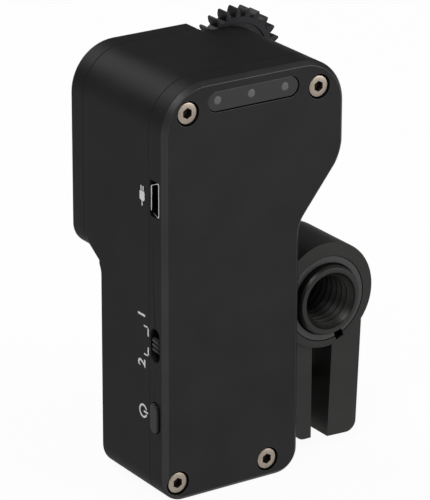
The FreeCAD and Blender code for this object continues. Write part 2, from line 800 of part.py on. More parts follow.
def usb_port():
    """The metal shell and the contact tongue of the socket in the left side."""
    half_width = s.slot_width / 2 - s.free_gap / 2
    half_length = s.port_length / 2 - s.free_gap / 2
    mouth = LEFT + s.free_gap
    end = mouth + s.port_reach
    outer = box((mouth, end), (SLOT_Y - half_width, SLOT_Y + half_width),
                (s.port_rise - half_length, s.port_rise + half_length))
    wall = s.port_shell
    inner = box((mouth - PAST, end - wall), (SLOT_Y - half_width + wall, SLOT_Y + half_width - wall),
                (s.port_rise - half_length + wall, s.port_rise + half_length - wall))
    pads = box((LEFT + s.side_wall + s.free_gap, end), (SLOT_Y + half_width - wall, BOARD_FRONT),
               (s.port_rise - half_length, s.port_rise + half_length))
    node("usb_socket_shell", cut(join(outer, pads), inner))
    tongue = box((mouth + s.tongue_setback, end - wall), (SLOT_Y - wall, SLOT_Y + wall),
                 (s.port_rise - half_length + 3 * wall, s.port_rise + half_length - 3 * wall))
    node("usb_contact_tongue", tongue)


def mode_slider():
    """The two-way slider in its slot and the switch body behind it."""
    inside = LEFT + s.side_wall + s.free_gap
    knob_half = s.slider_knob / 2
    width_half = s.slider_width / 2
    knob = box((LEFT + s.free_gap, inside), (SLOT_Y - width_half, SLOT_Y + width_half),
               (s.slider_rise - knob_half, s.slider_rise + knob_half))
    ribs = [box((LEFT + s.free_gap - s.rib_size, LEFT + s.free_gap),
                (SLOT_Y - width_half, SLOT_Y + width_half),
                (s.slider_rise + s.rib_pitch * step - s.rib_size / 2,
                 s.slider_rise + s.rib_pitch * step + s.rib_size / 2)) for step in (-1, 0, 1)]
    node("mode_slider", join(knob, *ribs))
    body_half = SLIDER_SLOT / 2 + s.side_wall / 2
    start = inside + s.free_gap
    node("mode_switch_body", box((start, start + s.switch_reach),
                                 (SLOT_Y - s.slot_width / 2, BOARD_FRONT),
                                 (s.slider_rise - body_half, s.slider_rise + body_half)))


def power_button():
    """The long push button with its inner flange, and the contact switch that it presses."""
    width = s.slot_width - s.free_gap
    inside = LEFT + s.side_wall
    cap = slot_bar(s.button_length, width, s.button_proud + s.side_wall + s.free_gap,
                   (LEFT - s.button_proud, SLOT_Y, s.button_rise), "+X")
    half = s.button_length / 2 + s.free_gap
    flange = box((inside + s.free_gap / 2, inside + s.free_gap / 2 + s.button_flange),
                 (SLOT_Y - width / 2, SLOT_Y + width / 2),
                 (s.button_rise - half, s.button_rise + half))
    node("power_button", join(cap, flange))
    start = inside + s.free_gap / 2 + s.button_flange + s.button_travel + s.run_gap
    node("button_switch", box((start, start + s.switch_reach), (SLOT_Y - width / 2, BOARD_FRONT),
                              (s.button_rise - half, s.button_rise + half)))


# Drive train

GEAR_SLACK = 0.16
TRAIN_SLACK = 0.12
GEAR_PHASE = math.radians(90)


def drive_phases():
    """Tooth phases of every gear, so that each pair meshes when the unit is at rest."""
    gear_at = (GEAR_X, GEAR_Z)
    pinion_at = (PINION_X, PINION_Z)
    idler_at = (IDLER_X, IDLER_Z)
    motor_at = (MOTOR_X, MOTOR_Z)
    pinion = meshing_phase(GEAR_PHASE, size("gear_teeth"), gear_at, size("pinion_teeth"), pinion_at)
    small = meshing_phase(0, size("wheel_teeth"), pinion_at, size("small_teeth"), idler_at)
    motor = meshing_phase(0, size("wheel_teeth"), idler_at, size("small_teeth"), motor_at)
    return pinion, small, motor


def output_gear(pinion_phase):
    """The focus gear on its fixed axle, with its bush, washer and screw, and its pinion."""
    bush_radius = s.axle_radius + s.run_gap + s.bush_wall
    node("focus_gear", gear(s.gear_module, s.gear_teeth, s.gear_width, GEAR_SLACK, GEAR_PHASE,
                            (GEAR_X, GEAR_Z), GEAR_FRONT, bush_radius + s.fit_gap))
    reach = s.free_gap / 2
    bush = post(bush_radius, s.gear_width + 2 * reach, (GEAR_X, GEAR_FRONT - reach, GEAR_Z))
    bore = post(s.axle_radius + s.run_gap, s.gear_width + 2 * PAST, (GEAR_X, GEAR_FRONT - PAST, GEAR_Z))
    node("gear_bush", cut(bush, bore))
    washer_seat = GEAR_FRONT + s.gear_width + s.free_gap
    axle_start = WEB_BACK - s.axle_root
    axle = post(s.axle_radius, washer_seat - axle_start, (GEAR_X, axle_start, GEAR_Z))
    pilot = post(s.cap_shank_radius + s.fit_gap, s.gear_shank_length + PAST,
                 (GEAR_X, washer_seat, GEAR_Z), "-Y")
    node("gear_axle", cut(axle, pilot))
    disc = post(s.washer_radius, s.washer_thickness, (GEAR_X, washer_seat, GEAR_Z))
    hole = post(s.cap_shank_radius + s.run_gap, s.washer_thickness + 2 * PAST,
                (GEAR_X, washer_seat - PAST, GEAR_Z))
    node("gear_washer", cut(disc, hole))
    node("gear_screw", cap_screw(s.cap_head_radius, s.cap_head_length / 2, s.cap_shank_radius,
                                 s.gear_shank_length, s.cap_socket,
                                 (GEAR_X, washer_seat + s.washer_thickness, GEAR_Z), "-Y"))
    node("drive_pinion", gear(s.gear_module, s.pinion_teeth, s.gear_width, GEAR_SLACK, pinion_phase,
                              (PINION_X, PINION_Z), GEAR_FRONT, s.shaft_radius + s.fit_gap))


def reduction_train(small_phase):
    """The pinion shaft with its bearings, the wheel on it, and the idler on its pin."""
    shaft_start = PLATE_FRONT - s.free_gap
    shaft_end = GEAR_FRONT + s.gear_width + s.free_gap
    node("pinion_shaft", post(s.shaft_radius, shaft_end - shaft_start,
                              (PINION_X, shaft_start, PINION_Z)))
    for name, start in (("front_shaft_bearing", PLATE_FRONT), ("rear_shaft_bearing", WEB_FRONT)):
        ring = post(s.bearing_radius, s.bearing_width, (PINION_X, start, PINION_Z))
        bore = post(s.shaft_radius + s.run_gap, s.bearing_width + 2 * PAST,
                    (PINION_X, start - PAST, PINION_Z))
        node(name, cut(ring, bore))
    node("shaft_wheel", gear(s.train_module, s.wheel_teeth, s.train_width, TRAIN_SLACK, 0,
                             (PINION_X, PINION_Z), REAR_WHEELS, s.shaft_radius + s.fit_gap))
    bore = s.idler_pin_radius + s.run_gap
    wheel = gear(s.train_module, s.wheel_teeth, s.train_width, TRAIN_SLACK, 0, (IDLER_X, IDLER_Z),
                 FRONT_WHEELS, bore)
    hub_radius = s.train_module * (s.small_teeth / 2 - 1.5)
    small = gear(s.train_module, s.small_teeth, s.train_width, TRAIN_SLACK, small_phase,
                 (IDLER_X, IDLER_Z), REAR_WHEELS, bore,
                 (hub_radius, FRONT_WHEELS + s.train_width / 2, REAR_WHEELS + s.train_width / 2))
    node("idler_gear", join(wheel, small))
    node("idler_pin", post(s.idler_pin_radius, WEB_FRONT + s.bearing_width - PLATE_FRONT,
                           (IDLER_X, PLATE_FRONT, IDLER_Z)))


def gearbox_plate():
    """The plate between the motor and the gears, with the three screws that hold it."""
    margin = s.plate_margin
    (_, high), (right, _), (left, _) = PILLARS
    blank = box((left - margin, right + margin), (PLATE_FRONT, PLATE_BACK),
                (MOTOR_Z - s.motor_radius, high + margin))
    plate = common(outline(s.side_wall + s.free_gap, PLATE_FRONT - PAST,
                           s.plate_thickness + 2 * PAST), blank)
    through = s.plate_thickness + 2 * PAST
    start = PLATE_FRONT - PAST
    bearing = post(s.bearing_radius + s.fit_gap, through, (PINION_X, start, PINION_Z))
    pin = post(s.idler_pin_radius + s.fit_gap, through, (IDLER_X, start, IDLER_Z))
    motor = post(s.motor_shaft_radius + s.free_gap, through, (MOTOR_X, start, MOTOR_Z))
    holes = [post(s.small_shank_radius + s.run_gap, through, (x, start, z))
             for x, z in PILLARS + MOTOR_SCREWS]
    node("gearbox_plate", cut(plate, bearing, pin, motor, *holes))
    screws = [cap_screw(s.small_head_radius, s.small_head_length, s.small_shank_radius,
                        s.small_shank_length, s.small_socket, (x, PLATE_FRONT, z), "+Y")
              for x, z in PILLARS]
    node("gearbox_screws", group(*screws))


def motor(motor_phase):
    """The small motor: can, magnet ring, end cap, rotor and its pinion."""
    start = MOTOR_FRONT
    length = PLATE_FRONT - MOTOR_FRONT
    inner = s.motor_radius - s.motor_wall
    room = length - s.motor_end_wall
    can = post(s.motor_radius, length, (MOTOR_X, start, MOTOR_Z))
    hollow = post(inner, room + PAST, (MOTOR_X, start - PAST, MOTOR_Z))
    shaft_hole = post(s.motor_shaft_radius + s.run_gap, length + 2 * PAST,
                      (MOTOR_X, start - PAST, MOTOR_Z))
    holes = [post(s.small_shank_radius + s.fit_gap, s.motor_end_wall + 2 * PAST,
                  (x, PLATE_FRONT + PAST, z), "-Y") for x, z in MOTOR_SCREWS]
    node("motor_can", cut(can, hollow, shaft_hole, *holes))
    cap = post(inner - s.fit_gap, s.motor_cap_thickness, (MOTOR_X, start, MOTOR_Z))
    cap_hole = post(s.motor_shaft_radius + s.run_gap, s.motor_cap_thickness + 2 * PAST,
                    (MOTOR_X, start - PAST, MOTOR_Z))
    node("motor_end_cap", cut(cap, cap_hole))
    core_start = start + s.motor_cap_thickness + s.free_gap
    screw_room = s.small_shank_length - s.plate_thickness - s.motor_end_wall
    core_length = room - s.motor_cap_thickness - 2 * s.free_gap - screw_room
    ring = post(inner - s.fit_gap, core_length, (MOTOR_X, core_start, MOTOR_Z))
    ring_bore = post(inner - s.magnet_thickness, core_length + 2 * PAST,
                     (MOTOR_X, core_start - PAST, MOTOR_Z))
    node("motor_magnet", cut(ring, ring_bore))
    core = post(inner - s.magnet_thickness - s.free_gap, core_length, (MOTOR_X, core_start, MOTOR_Z))
    shaft = post(s.motor_shaft_radius, FRONT_WHEELS + s.train_width - start,
                 (MOTOR_X, start, MOTOR_Z))
    node("motor_rotor", join(core, shaft))
    node("motor_pinion", gear(s.train_module, s.small_teeth, s.train_width, TRAIN_SLACK, motor_phase,
                              (MOTOR_X, MOTOR_Z), FRONT_WHEELS, s.motor_shaft_radius + s.fit_gap))
    screws = [cap_screw(s.small_head_radius, s.small_head_length / 2, s.small_shank_radius,
                        s.plate_thickness + s.motor_end_wall, s.small_socket, (x, PLATE_BACK, z), "-Y")
              for x, z in MOTOR_SCREWS]
    node("motor_screws", group(*screws))


# Rod clamp

def clamp_bolt_places():
    """Where the two bolts through the housing wall meet the clamp's foot, as (y, z)."""
    middle = CLAMP_FRONT + (s.foot_setback + s.clamp_length) / 2
    return [(middle, s.clamp_rise + s.clamp_bolt_pitch / 2 * side) for side in (-1, 1)]


def leg(near, width, setback, lean, outer_side):
    """One of the two legs that hang from the clamp ring, with its outer bottom corner rounded."""
    deep = s.clamp_length - setback
    top = s.clamp_rise - CLAMP_RADIUS + s.leg_overlap
    bar = box((near, near + width), (CLAMP_FRONT + setback, CLAMP_BACK), (s.leg_low, top))
    low = s.leg_low.number()
    edge_x = (near + width if outer_side > 0 else near).number()
    bar = soften(bar, s.leg_round, lambda edge, middle: abs(middle.z - low) < 1e-4
                 and abs(middle.x - edge_x) < 1e-4 and edge.BoundBox.YLength > 1)
    return bar if not lean else lean_over(bar, lean)


def lean_over(bar, angle):
    """Turn a finished shape about a line along Y at the bottom of the clamp ring."""
    turned = doc.addObject("Part::MultiCommon", "turned")
    wide = s.body_height
    around = box((-wide, wide), (-wide, wide), (-wide, wide))
    turned.Shapes = [bar, around]
    pivot = V(SLIT_X.number(), 0, (s.clamp_rise - CLAMP_RADIUS).number())
    turned.Placement = FreeCAD.Placement(V(), FreeCAD.Rotation(V(0, 1, 0), angle), pivot)
    return turned


def clamp_body():
    """The split ring with its foot on the housing and its two legs."""
    ring = post(RING_RADIUS, s.clamp_length,
                (CLAMP_X, CLAMP_FRONT, s.clamp_rise + s.ring_wall - s.clamp_wall))
    half_foot = s.foot_height / 2
    foot = box((RIGHT_LOW, CLAMP_X), (CLAMP_FRONT + s.foot_setback, CLAMP_BACK),
               (s.clamp_rise - half_foot, s.clamp_rise + half_foot))
    left = leg(SLIT_X - s.leg_gap / 2 - s.left_leg_width, s.left_leg_width, s.leg_setback, 0, -1)
    right = leg(SLIT_X + s.leg_gap / 2, s.right_leg_width, Term(0), size("leg_lean"), 1)
    bore = post(LINER_RADIUS + s.fit_gap, s.clamp_length + 2 * PAST,
                (CLAMP_X, CLAMP_FRONT - PAST, s.clamp_rise))
    slit = box((SLIT_X - s.leg_gap / 2, SLIT_X + s.leg_gap / 2),
               (CLAMP_FRONT + s.clamp_lip, CLAMP_BACK + PAST),
               (s.clamp_rise - CLAMP_RADIUS - PAST, s.clamp_rise - s.rod_radius))
    wall_side = box((RIGHT_LOW - CLAMP_RADIUS, RIGHT_LOW), (CLAMP_FRONT - PAST, CLAMP_BACK + PAST),
                    (0, s.body_height))
    notch = liner_gap(LINER_RADIUS + s.liner_notch, CLAMP_FRONT - PAST, s.clamp_lip + PAST)
    screw_y = CLAMP_FRONT + s.clamp_screw_depth
    seat = SLIT_X + s.leg_gap / 2 + s.right_leg_width / 2
    tip = post(s.clamp_screw_radius + s.run_gap, CLAMP_RADIUS * 2,
               (seat + s.clamp_head_length, screw_y, s.clamp_screw_rise), "-X")
    well = post(s.clamp_head_radius + s.free_gap, s.right_leg_width,
                (seat, screw_y, s.clamp_screw_rise), "+X")
    bolts = [post(s.cap_shank_radius + s.fit_gap, s.clamp_bolt_length,
                  (RIGHT_LOW - s.side_wall, y, z), "+X") for y, z in clamp_bolt_places()]
    node("clamp_body", cut(join(ring, foot, left, right), bore, slit, wall_side, notch, tip, well,
                           *bolts))


def liner_gap(reach, start, depth):
    """A narrow bar from the rod's axis outwards, where the liner is split."""
    bar = box((0, reach), (start, start + depth), (-s.liner_slit / 2, s.liner_slit / 2))
    bar.Placement = FreeCAD.Placement(
        V(CLAMP_X.number(), start.number(), s.clamp_rise.number()),
        FreeCAD.Rotation(V(0, 1, 0), -size("liner_bearing")))
    return bar


def clamp_parts():
    """The split liner, the rod with its threaded end, and the clamp's screws."""
    tube = post(LINER_RADIUS, s.clamp_length, (CLAMP_X, CLAMP_FRONT, s.clamp_rise))
    bore = post(s.rod_radius + s.run_gap, s.clamp_length + 2 * PAST,
                (CLAMP_X, CLAMP_FRONT - PAST, s.clamp_rise))
    split = liner_gap(LINER_RADIUS + PAST, CLAMP_FRONT - PAST, s.clamp_length + 2 * PAST)
    node("clamp_liner", cut(tube, bore, split))
    rod_start = CLAMP_FRONT - s.rod_proud
    rod = post(s.rod_radius, s.rod_length, (CLAMP_X, rod_start, s.clamp_rise))
    thread = post(s.thread_radius, s.thread_length, (CLAMP_X, rod_start, s.clamp_rise))
    mouth = cone(s.thread_radius + s.thread_lead, s.thread_radius, s.thread_lead,
                 (CLAMP_X, rod_start, s.clamp_rise))
    node("support_rod", cut(rod, thread, mouth))
    screw_y = CLAMP_FRONT + s.clamp_screw_depth
    seat = SLIT_X + s.leg_gap / 2 + s.right_leg_width / 2
    reach = s.right_leg_width / 2 + s.leg_gap + s.clamp_screw_grip
    node("clamp_screw", cap_screw(s.clamp_head_radius, s.clamp_head_length, s.clamp_screw_radius,
                                  reach, s.cap_socket, (seat, screw_y, s.clamp_screw_rise), "-X"))
    bolts = [cap_screw(s.cap_head_radius, s.cap_head_length, s.cap_shank_radius, s.clamp_bolt_length,
                       s.cap_socket, (RIGHT_LOW - s.side_wall, y, z), "+X")
             for y, z in clamp_bolt_places()]
    node("clamp_bolts", group(*bolts))


def check_and_write():
    """Stop at any failed object, then write each named piece to its own file."""
    doc.recompute()
    for thing in doc.Objects:
        if "Invalid" in thing.State or "Error" in thing.State:
            raise RuntimeError(f"{thing.Name} {thing.Label}: {thing.State}")
    os.makedirs("parts", exist_ok=True)
    for thing in NODES:
        shape = thing.Shape
        if shape.isNull() or not shape.isValid() or not shape.Solids:
            raise RuntimeError(f"{thing.Label} has no valid solid")
        shape.exportStep(os.path.join("parts", f"{thing.Label}.step"))
        print(thing.Label, len(shape.Solids), round(shape.Volume, 1))


def main():
    """Build every piece of the unit."""
    pinion_phase, small_phase, motor_phase = drive_phases()
    front_cover()
    main_housing()
    back_cover()
    cover_screws()
    back_screws()
    indicator()
    main_board()
    usb_port()
    mode_slider()
    power_button()
    output_gear(pinion_phase)
    reduction_train(small_phase)
    gearbox_plate()
    motor(motor_phase)
    clamp_body()
    clamp_parts()
    check_and_write()


main()
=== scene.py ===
"""Follow focus unit: the dressed model of a geared focus drive and its rod clamp."""
import math
from contextlib import contextmanager

import bmesh
import bpy
from bpy.props import FloatProperty, FloatVectorProperty, IntProperty, PointerProperty
from bpy.types import Operator, Panel, PropertyGroup
from mathutils import Matrix, Vector


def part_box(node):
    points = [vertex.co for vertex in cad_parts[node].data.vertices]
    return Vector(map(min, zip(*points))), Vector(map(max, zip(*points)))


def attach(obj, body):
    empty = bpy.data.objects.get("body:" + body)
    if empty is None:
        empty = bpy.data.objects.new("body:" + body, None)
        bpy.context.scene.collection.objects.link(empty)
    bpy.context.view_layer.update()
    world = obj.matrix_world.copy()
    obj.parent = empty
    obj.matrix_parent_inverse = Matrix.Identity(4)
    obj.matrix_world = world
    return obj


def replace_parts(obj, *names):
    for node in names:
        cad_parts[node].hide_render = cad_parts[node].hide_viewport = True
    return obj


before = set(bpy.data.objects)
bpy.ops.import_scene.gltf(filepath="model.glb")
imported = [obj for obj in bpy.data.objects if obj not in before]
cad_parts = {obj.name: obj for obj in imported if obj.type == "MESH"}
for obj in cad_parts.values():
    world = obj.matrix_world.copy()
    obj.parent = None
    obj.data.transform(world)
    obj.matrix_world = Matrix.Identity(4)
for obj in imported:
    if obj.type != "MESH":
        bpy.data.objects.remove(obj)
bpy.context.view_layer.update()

bl_info = {
    "name": "Follow Focus Unit",
    "version": (1, 0, 0),
    "blender": (4, 5, 0),
    "location": "View3D > Sidebar > Follow Focus",
    "description": "Models a geared follow focus unit with its rod clamp",
    "category": "Add Mesh",
}

MM = 0.001
CLOSE = 2e-6
WELD = 4e-7
WAYS = {"X": Vector((1, 0, 0)), "Y": Vector((0, 1, 0)), "Z": Vector((0, 0, 1))}


def corner(node, side):
    """The lowest or highest corner of a frame node, as a vector."""
    return Vector(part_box(node)[side])


def middle(node):
    """The middle of a frame node's box."""
    return (corner(node, 0) + corner(node, 1)) / 2


# Places that the frame gives

LEFT = corner("front_cover", 0).x
FRONT = corner("front_cover", 0).y
TOP = corner("front_cover", 1).z
RIGHT_TOP = corner("front_cover", 1).x
SEAM_FRONT = corner("main_housing", 0).y
SEAM_BACK = corner("main_housing", 1).y
BACK = corner("back_cover", 1).y
GEAR = middle("focus_gear")
PINION = middle("pinion_shaft")
GEAR_FRONT = corner("focus_gear", 0).y
GEAR_BACK = corner("focus_gear", 1).y
ROD = middle("support_rod")
ROD_FRONT = corner("support_rod", 0).y
ROD_BACK = corner("support_rod", 1).y
CLAMP_FRONT = corner("clamp_liner", 0).y
CLAMP_BACK = corner("clamp_liner", 1).y


def length(name, about, value, low=0.0):
    """A length in metres, given in millimetres."""
    return FloatProperty(name=name, description=about, default=value * MM, min=low,
                         subtype="DISTANCE", unit="LENGTH", precision=5)


def tint(name, about, colour):
    """A colour in linear values."""
    return FloatVectorProperty(name=name, description=about, default=colour, size=3,
                               subtype="COLOR", min=0.0, max=1.0)


class HousingSizes(PropertyGroup):
    """Sizes of the stepped housing."""
    low_width: length("Lower width", "Width of the narrow lower housing", 33.0)
    waist: length("Waist height", "Height where the lower housing starts to widen", 54.1)
    shoulder: length("Shoulder height", "Height where the housing reaches its full width", 67.3)
    top_round: length("Top round", "Radius of the two top corners", 10.0)
    bottom_round: length("Bottom round", "Radius of the two bottom corners", 5.0)
    shoulder_round: length("Shoulder round", "Radius of the upper bend", 9.0)
    waist_round: length("Waist round", "Radius of the lower bend", 5.5)
    side_wall: length("Side wall", "Thickness of the side walls", 1.8)
    front_wall: length("Front wall", "Thickness of the front wall", 1.4)
    front_chamfer: length("Front chamfer", "Width of the broken front edge", 1.0)
    seam_edge: length("Seam edge", "Rounding of the edges at each seam", 0.22)
    fine_edge: length("Fine edge", "Rounding of the small edges", 0.1)
    low_back: length("Lower rear face", "Place of the lower housing's rear face", 12.15)
    under: length("Step height", "Height of the deep upper part's underside", 45.5)
    ramp_round: length("Ramp radius", "Radius of the hollow ramp", 3.0)
    under_round: length("Under round", "Rounding of the underside's corners at the seam", 5.0)
    under_start: length("Under start", "Rounding of the same corners at the step", 0.15)
    under_wall: length("Under wall", "Thickness of the underside of the rear cover", 2.5)
    rear_wall: length("Rear wall", "Thickness of the rear cover's back", 2.0)
    collar_wall: length("Collar wall", "Thickness of the wall round the gear's pocket", 1.4)
    low_round: length("Lower rear round", "Rounding of the lower rear edges", 1.0)
    back_round: length("Rear round", "Rounding of the rear cover's edges", 1.0)
    web: length("Gear web", "Place of the wall in front of the gears", 12.95)
    recess: length("Gear recess", "Place of the gear recess's floor", 15.55)


class ScrewSizes(PropertyGroup):
    """Sizes of the cap screws in both covers."""
    head_radius: length("Head radius", "Radius of a screw head", 2.25)
    head_length: length("Head length", "Height of a screw head", 2.3)
    shank_radius: length("Shank radius", "Radius of a screw shank", 1.2)
    front_shank: length("Front shank", "Length of the front screws' shanks", 9.0)
    rear_shank: length("Rear shank", "Length of the rear screws' shanks", 6.5)
    socket: length("Socket", "Width of the hexagonal socket across its flats", 2.0)
    recess: length("Recess", "Depth of the seat under the surface", 2.6)
    well_radius: length("Well radius", "Radius of the well round a head", 2.6)
    boss_wall: length("Boss wall", "Thickness of a boss round its well", 0.6)
    play: length("Screw play", "Room round a shank in its hole", 0.1)
    front_boss: length("Front boss", "Length of the bosses behind the front seam", 9.0)
    front_hole: length("Front hole", "Depth of the holes behind the front seam", 6.5)
    rear_hole: length("Rear hole", "Depth of the holes before the rear seam", 4.2)


class ControlSizes(PropertyGroup):
    """Sizes of the window, port, slider and button."""
    window_left: length("Window left end", "Left end of the window", -6.1, -1.0)
    window_right: length("Window right end", "Right end of the window", 15.7)
    window_height: length("Window height", "Height of the window", 4.4)
    window_rise: length("Window rise", "Height of the window's middle", 83.95)
    window_sink: length("Window sink", "Depth of the window's face under the surface", 0.3)
    window_gap: length("Window gap", "Gap between the window and the housing", 0.14)
    lamp_radius: length("Lamp radius", "Radius of each lamp's dot", 0.85)
    lamp_shift: length("Lamp shift", "How far the lamps lie left of the middle", 0.45)
    lamp_lift: length("Lamp lift", "How far the lamps lie over the window's middle", 0.2)
    lamp_pitch: length("Lamp pitch", "Distance between the lamps", 8.0)
    lamp_dome: length("Lamp dome", "Height of each lamp's low dome", 0.05)
    lamp_depth: length("Lamp depth", "How deep each lamp sits in the window", 0.3)
    slot_depth: length("Slot depth", "Distance of the side slots from the front", 3.3)
    slot_width: length("Slot width", "Width of the side slots", 3.3)
    slot_reach: length("Slot reach", "How far the slots are cut past the side wall", 0.4)
    port_rise: length("Port rise", "Height of the port's middle", 65.1)
    port_length: length("Port length", "Height of the port's opening", 7.6)
    port_taper: length("Port taper", "How much shorter each end of the port's rear side is", 0.9)
    port_corner: length("Port corner", "Rounding of the corners of the port's opening", 0.35)
    port_play: length("Port play", "Room round the port's metal shell", 0.16)
    port_sink: length("Port sink", "Depth of the port's mouth under the side", 0.12)
    port_wall: length("Port wall", "Thickness of the port's metal", 0.28)
    contact_pitch: length("Contact pitch", "Distance between the port's contacts", 0.8)
    contact_width: length("Contact width", "Width of the port's contacts", 0.3)
    slider_rise: length("Slider rise", "Height of the slider's middle", 34.0)
    slider_slot: length("Slider slot", "Height of the slider's slot", 7.2)
    slider_knob: length("Slider knob", "Height of the slider's knob", 3.1)
    slider_width: length("Slider width", "Width of the slider's knob", 2.3)
    rib_height: length("Rib height", "How far the slider's ribs stand out", 0.25)
    rib_pitch: length("Rib pitch", "Distance between the slider's ribs", 1.0)
    button_rise: length("Button rise", "Height of the button's middle", 18.3)
    button_length: length("Button length", "Height of the button", 6.6)
    button_play: length("Button play", "Room round the button in its opening", 0.08)
    button_round: length("Button round", "Rounding of the button's rim", 0.34)
    mark_depth: length("Mark depth", "Distance of the side marks from the front", 7.8)
    mark_thickness: length("Mark thickness", "Thickness of the printed marks", 0.03)
    mark_corner: length("Mark corner", "Rounding of the printed bars' corners", 0.08)
    numeral_height: length("Numeral height", "Height of the numerals", 2.6)
    numeral_shift: length("Numeral shift", "Distance of the numerals from the slider's middle", 5.2)


class GearSizes(PropertyGroup):
    """Sizes of the focus gear and its pinion."""
    module: length("Module", "Module of both gears", 0.8)
    teeth: IntProperty(name="Gear teeth", description="Teeth of the focus gear", default=24, min=8)
    pinion_teeth: IntProperty(name="Pinion teeth", description="Teeth of the pinion",
                              default=12, min=8)
    slack: length("Slack", "Play between the teeth", 0.16)
    pocket_gap: length("Pocket gap", "Room round each gear", 0.8)
    bush_radius: length("Bush radius", "Outer radius of the gear's bush", 3.04)
    play: length("Bore play", "Room round what the gears' bores hold", 0.02)
    shaft_radius: length("Shaft radius", "Radius of the pinion's shaft", 1.5)
    dish_inner: length("Dish inner radius", "Inner radius of the turned dish in the gear", 4.3)
    dish_outer: length("Dish outer radius", "Outer radius of the turned dish in the gear", 7.4)
    dish_depth: length("Dish depth", "Depth of the turned dish in the gear", 0.35)
    gear_edge: length("Gear edge", "Rounding of the gear's edges", 0.09)
    pinion_edge: length("Pinion edge", "Rounding of the pinion's edges", 0.07)
    washer_radius: length("Washer radius", "Radius of the washer", 3.6)
    washer_hole: length("Washer hole", "Radius of the hole in the washer", 1.25)
    washer_thickness: length("Washer thickness", "Thickness of the washer", 0.5)
    bolt_length: length("Bolt length", "Length of the shank that holds the gear", 5.0)
    axle_hole: length("Axle hole", "Radius of the hole for the gear's axle", 2.05)
    bearing_hole: length("Bearing hole", "Radius of the hole for the pinion's bearing", 3.05)
    hole_reach: length("Hole reach", "How far both holes reach in front of the web", 8.0)


class ClampSizes(PropertyGroup):
    """Sizes of the rod clamp."""
    ring_radius: length("Ring radius", "Outer radius of the clamp ring", 11.5)
    ring_lift: length("Ring lift", "How far the ring's middle lies over the rod's", 0.8)
    ring_low: length("Ring bottom", "Distance from the rod's axis to the ring's bottom", 10.74)
    liner_radius: length("Liner radius", "Outer radius of the liner", 9.29)
    liner_edge: length("Liner edge", "Width of the liner's broken edges", 0.35)
    liner_play: length("Liner play", "Room between the liner and the rod", 0.04)
    ring_play: length("Ring play", "Room between the clamp ring and the liner", 0.02)
    rod_radius: length("Rod radius", "Radius of the rod", 7.5)
    rod_edge: length("Rod edge", "Width of the rod's broken edges", 0.5)
    bore_radius: length("Bore radius", "Core radius of the rod's thread", 5.1)
    thread_pitch: length("Thread pitch", "Pitch of the thread in the rod", 1.75)
    thread_depth: length("Thread depth", "Depth of the thread in the rod", 0.75)
    thread_start: length("Thread start", "Depth of the thread's first turn", 0.7)
    mouth_flare: length("Mouth flare", "How much wider than the thread the bore's mouth is", 0.35)
    bore_length: length("Bore length", "Depth of the rod's threaded bore", 16.0)
    foot_height: length("Foot height", "Height of the foot on the housing", 17.0)
    foot_setback: length("Foot setback", "How far the foot starts behind the ring's front", 3.0)
    leg_low: length("Leg bottom", "Height of the legs' lower ends", 2.8)
    leg_gap: length("Leg gap", "Width of the slit between the legs", 4.2)
    left_leg: length("Left leg", "Width of the left leg", 4.1)
    right_leg: length("Right leg", "Width of the right leg", 7.2)
    leg_setback: length("Leg setback", "How far the left leg starts behind the ring's front", 1.2)
    leg_round: length("Leg round", "Rounding of the legs' lower outer corners", 2.4)
    leg_lean: FloatProperty(name="Leg lean", description="Inward lean of the right leg",
                            default=math.radians(2.4), subtype="ANGLE")
    slit_offset: length("Slit offset", "Place of the slit beside the rod's axis", -0.5, -1.0)
    lip: length("Lip", "Thickness of the ring's closed front lip", 2.0)
    notch_reach: length("Notch reach", "How far the lip's notch reaches past the liner", 0.8)
    split_width: length("Split width", "Width of the split in the liner", 2.0)
    split_bearing: FloatProperty(name="Split bearing", description="Bearing of the liner's split",
                                 default=math.radians(291.0), subtype="ANGLE")
    edge: length("Edge", "Rounding of the clamp's edges", 0.28)
    screw_depth: length("Screw depth", "Place of the clamp screw behind the ring's front", 10.4)
    screw_rise: length("Screw rise", "Height of the clamp screw", 13.0)
    screw_head: length("Screw head", "Radius of the clamp screw's head", 2.75)
    screw_height: length("Screw height", "Height of the clamp screw's head", 3.0)
    screw_shank: length("Screw shank", "Radius of the clamp screw's shank", 1.5)
    screw_play: length("Screw play", "Room round the clamp screw's shank", 0.04)
    well_play: length("Well play", "Room round the clamp screw's head", 0.3)


class Finishes(PropertyGroup):
    """Colours of the unit and its floor, in linear values."""
    housing: tint("Housing", "Black anodised metal of the housing", (0.022, 0.022, 0.0225))
    # Painted highlight: a lighter copy of the housing colour for the broken front edge and the rims
    # of the wells and window, where light catches them.
    housing_edge_highlight: tint("Housing edge", "Cut front edge of the housing", (0.040, 0.040, 0.040))
    clamp: tint("Clamp", "Dark metal of the clamp", (0.032, 0.032, 0.031))
    liner: tint("Liner", "Ring between clamp and rod", (0.024, 0.024, 0.025))
    rod: tint("Rod", "Metal of the rod", (0.026, 0.026, 0.025))
    # Painted shade: a darker colour for the inside of the rod's threaded bore, where shade falls.
    bore: tint("Bore", "Dark inside of the rod's thread", (0.008, 0.008, 0.007))
    screw: tint("Screws", "Bright metal of the screws", (0.31, 0.265, 0.22))
    # Painted shade: a dark colour for the inside of the screws' sockets, where shade falls.
    socket: tint("Sockets", "Dark inside of the screws' sockets", (0.030, 0.022, 0.016))
    gear: tint("Gear", "Dark metal of the focus gear", (0.026, 0.026, 0.028))
    port: tint("Port", "Tinned metal of the port", (0.62, 0.61, 0.59))
    plastic: tint("Plastic", "Black plastic of the controls", (0.006, 0.006, 0.006))
    window: tint("Window", "Smoked window", (0.010, 0.010, 0.0105))
    lamp: tint("Lamp", "Unlit lamps", (0.065, 0.065, 0.068))
    mark: tint("Marks", "Printed marks on the side", (0.62, 0.62, 0.62))
    floor: tint("Floor", "Pale floor", (0.85, 0.85, 0.85))


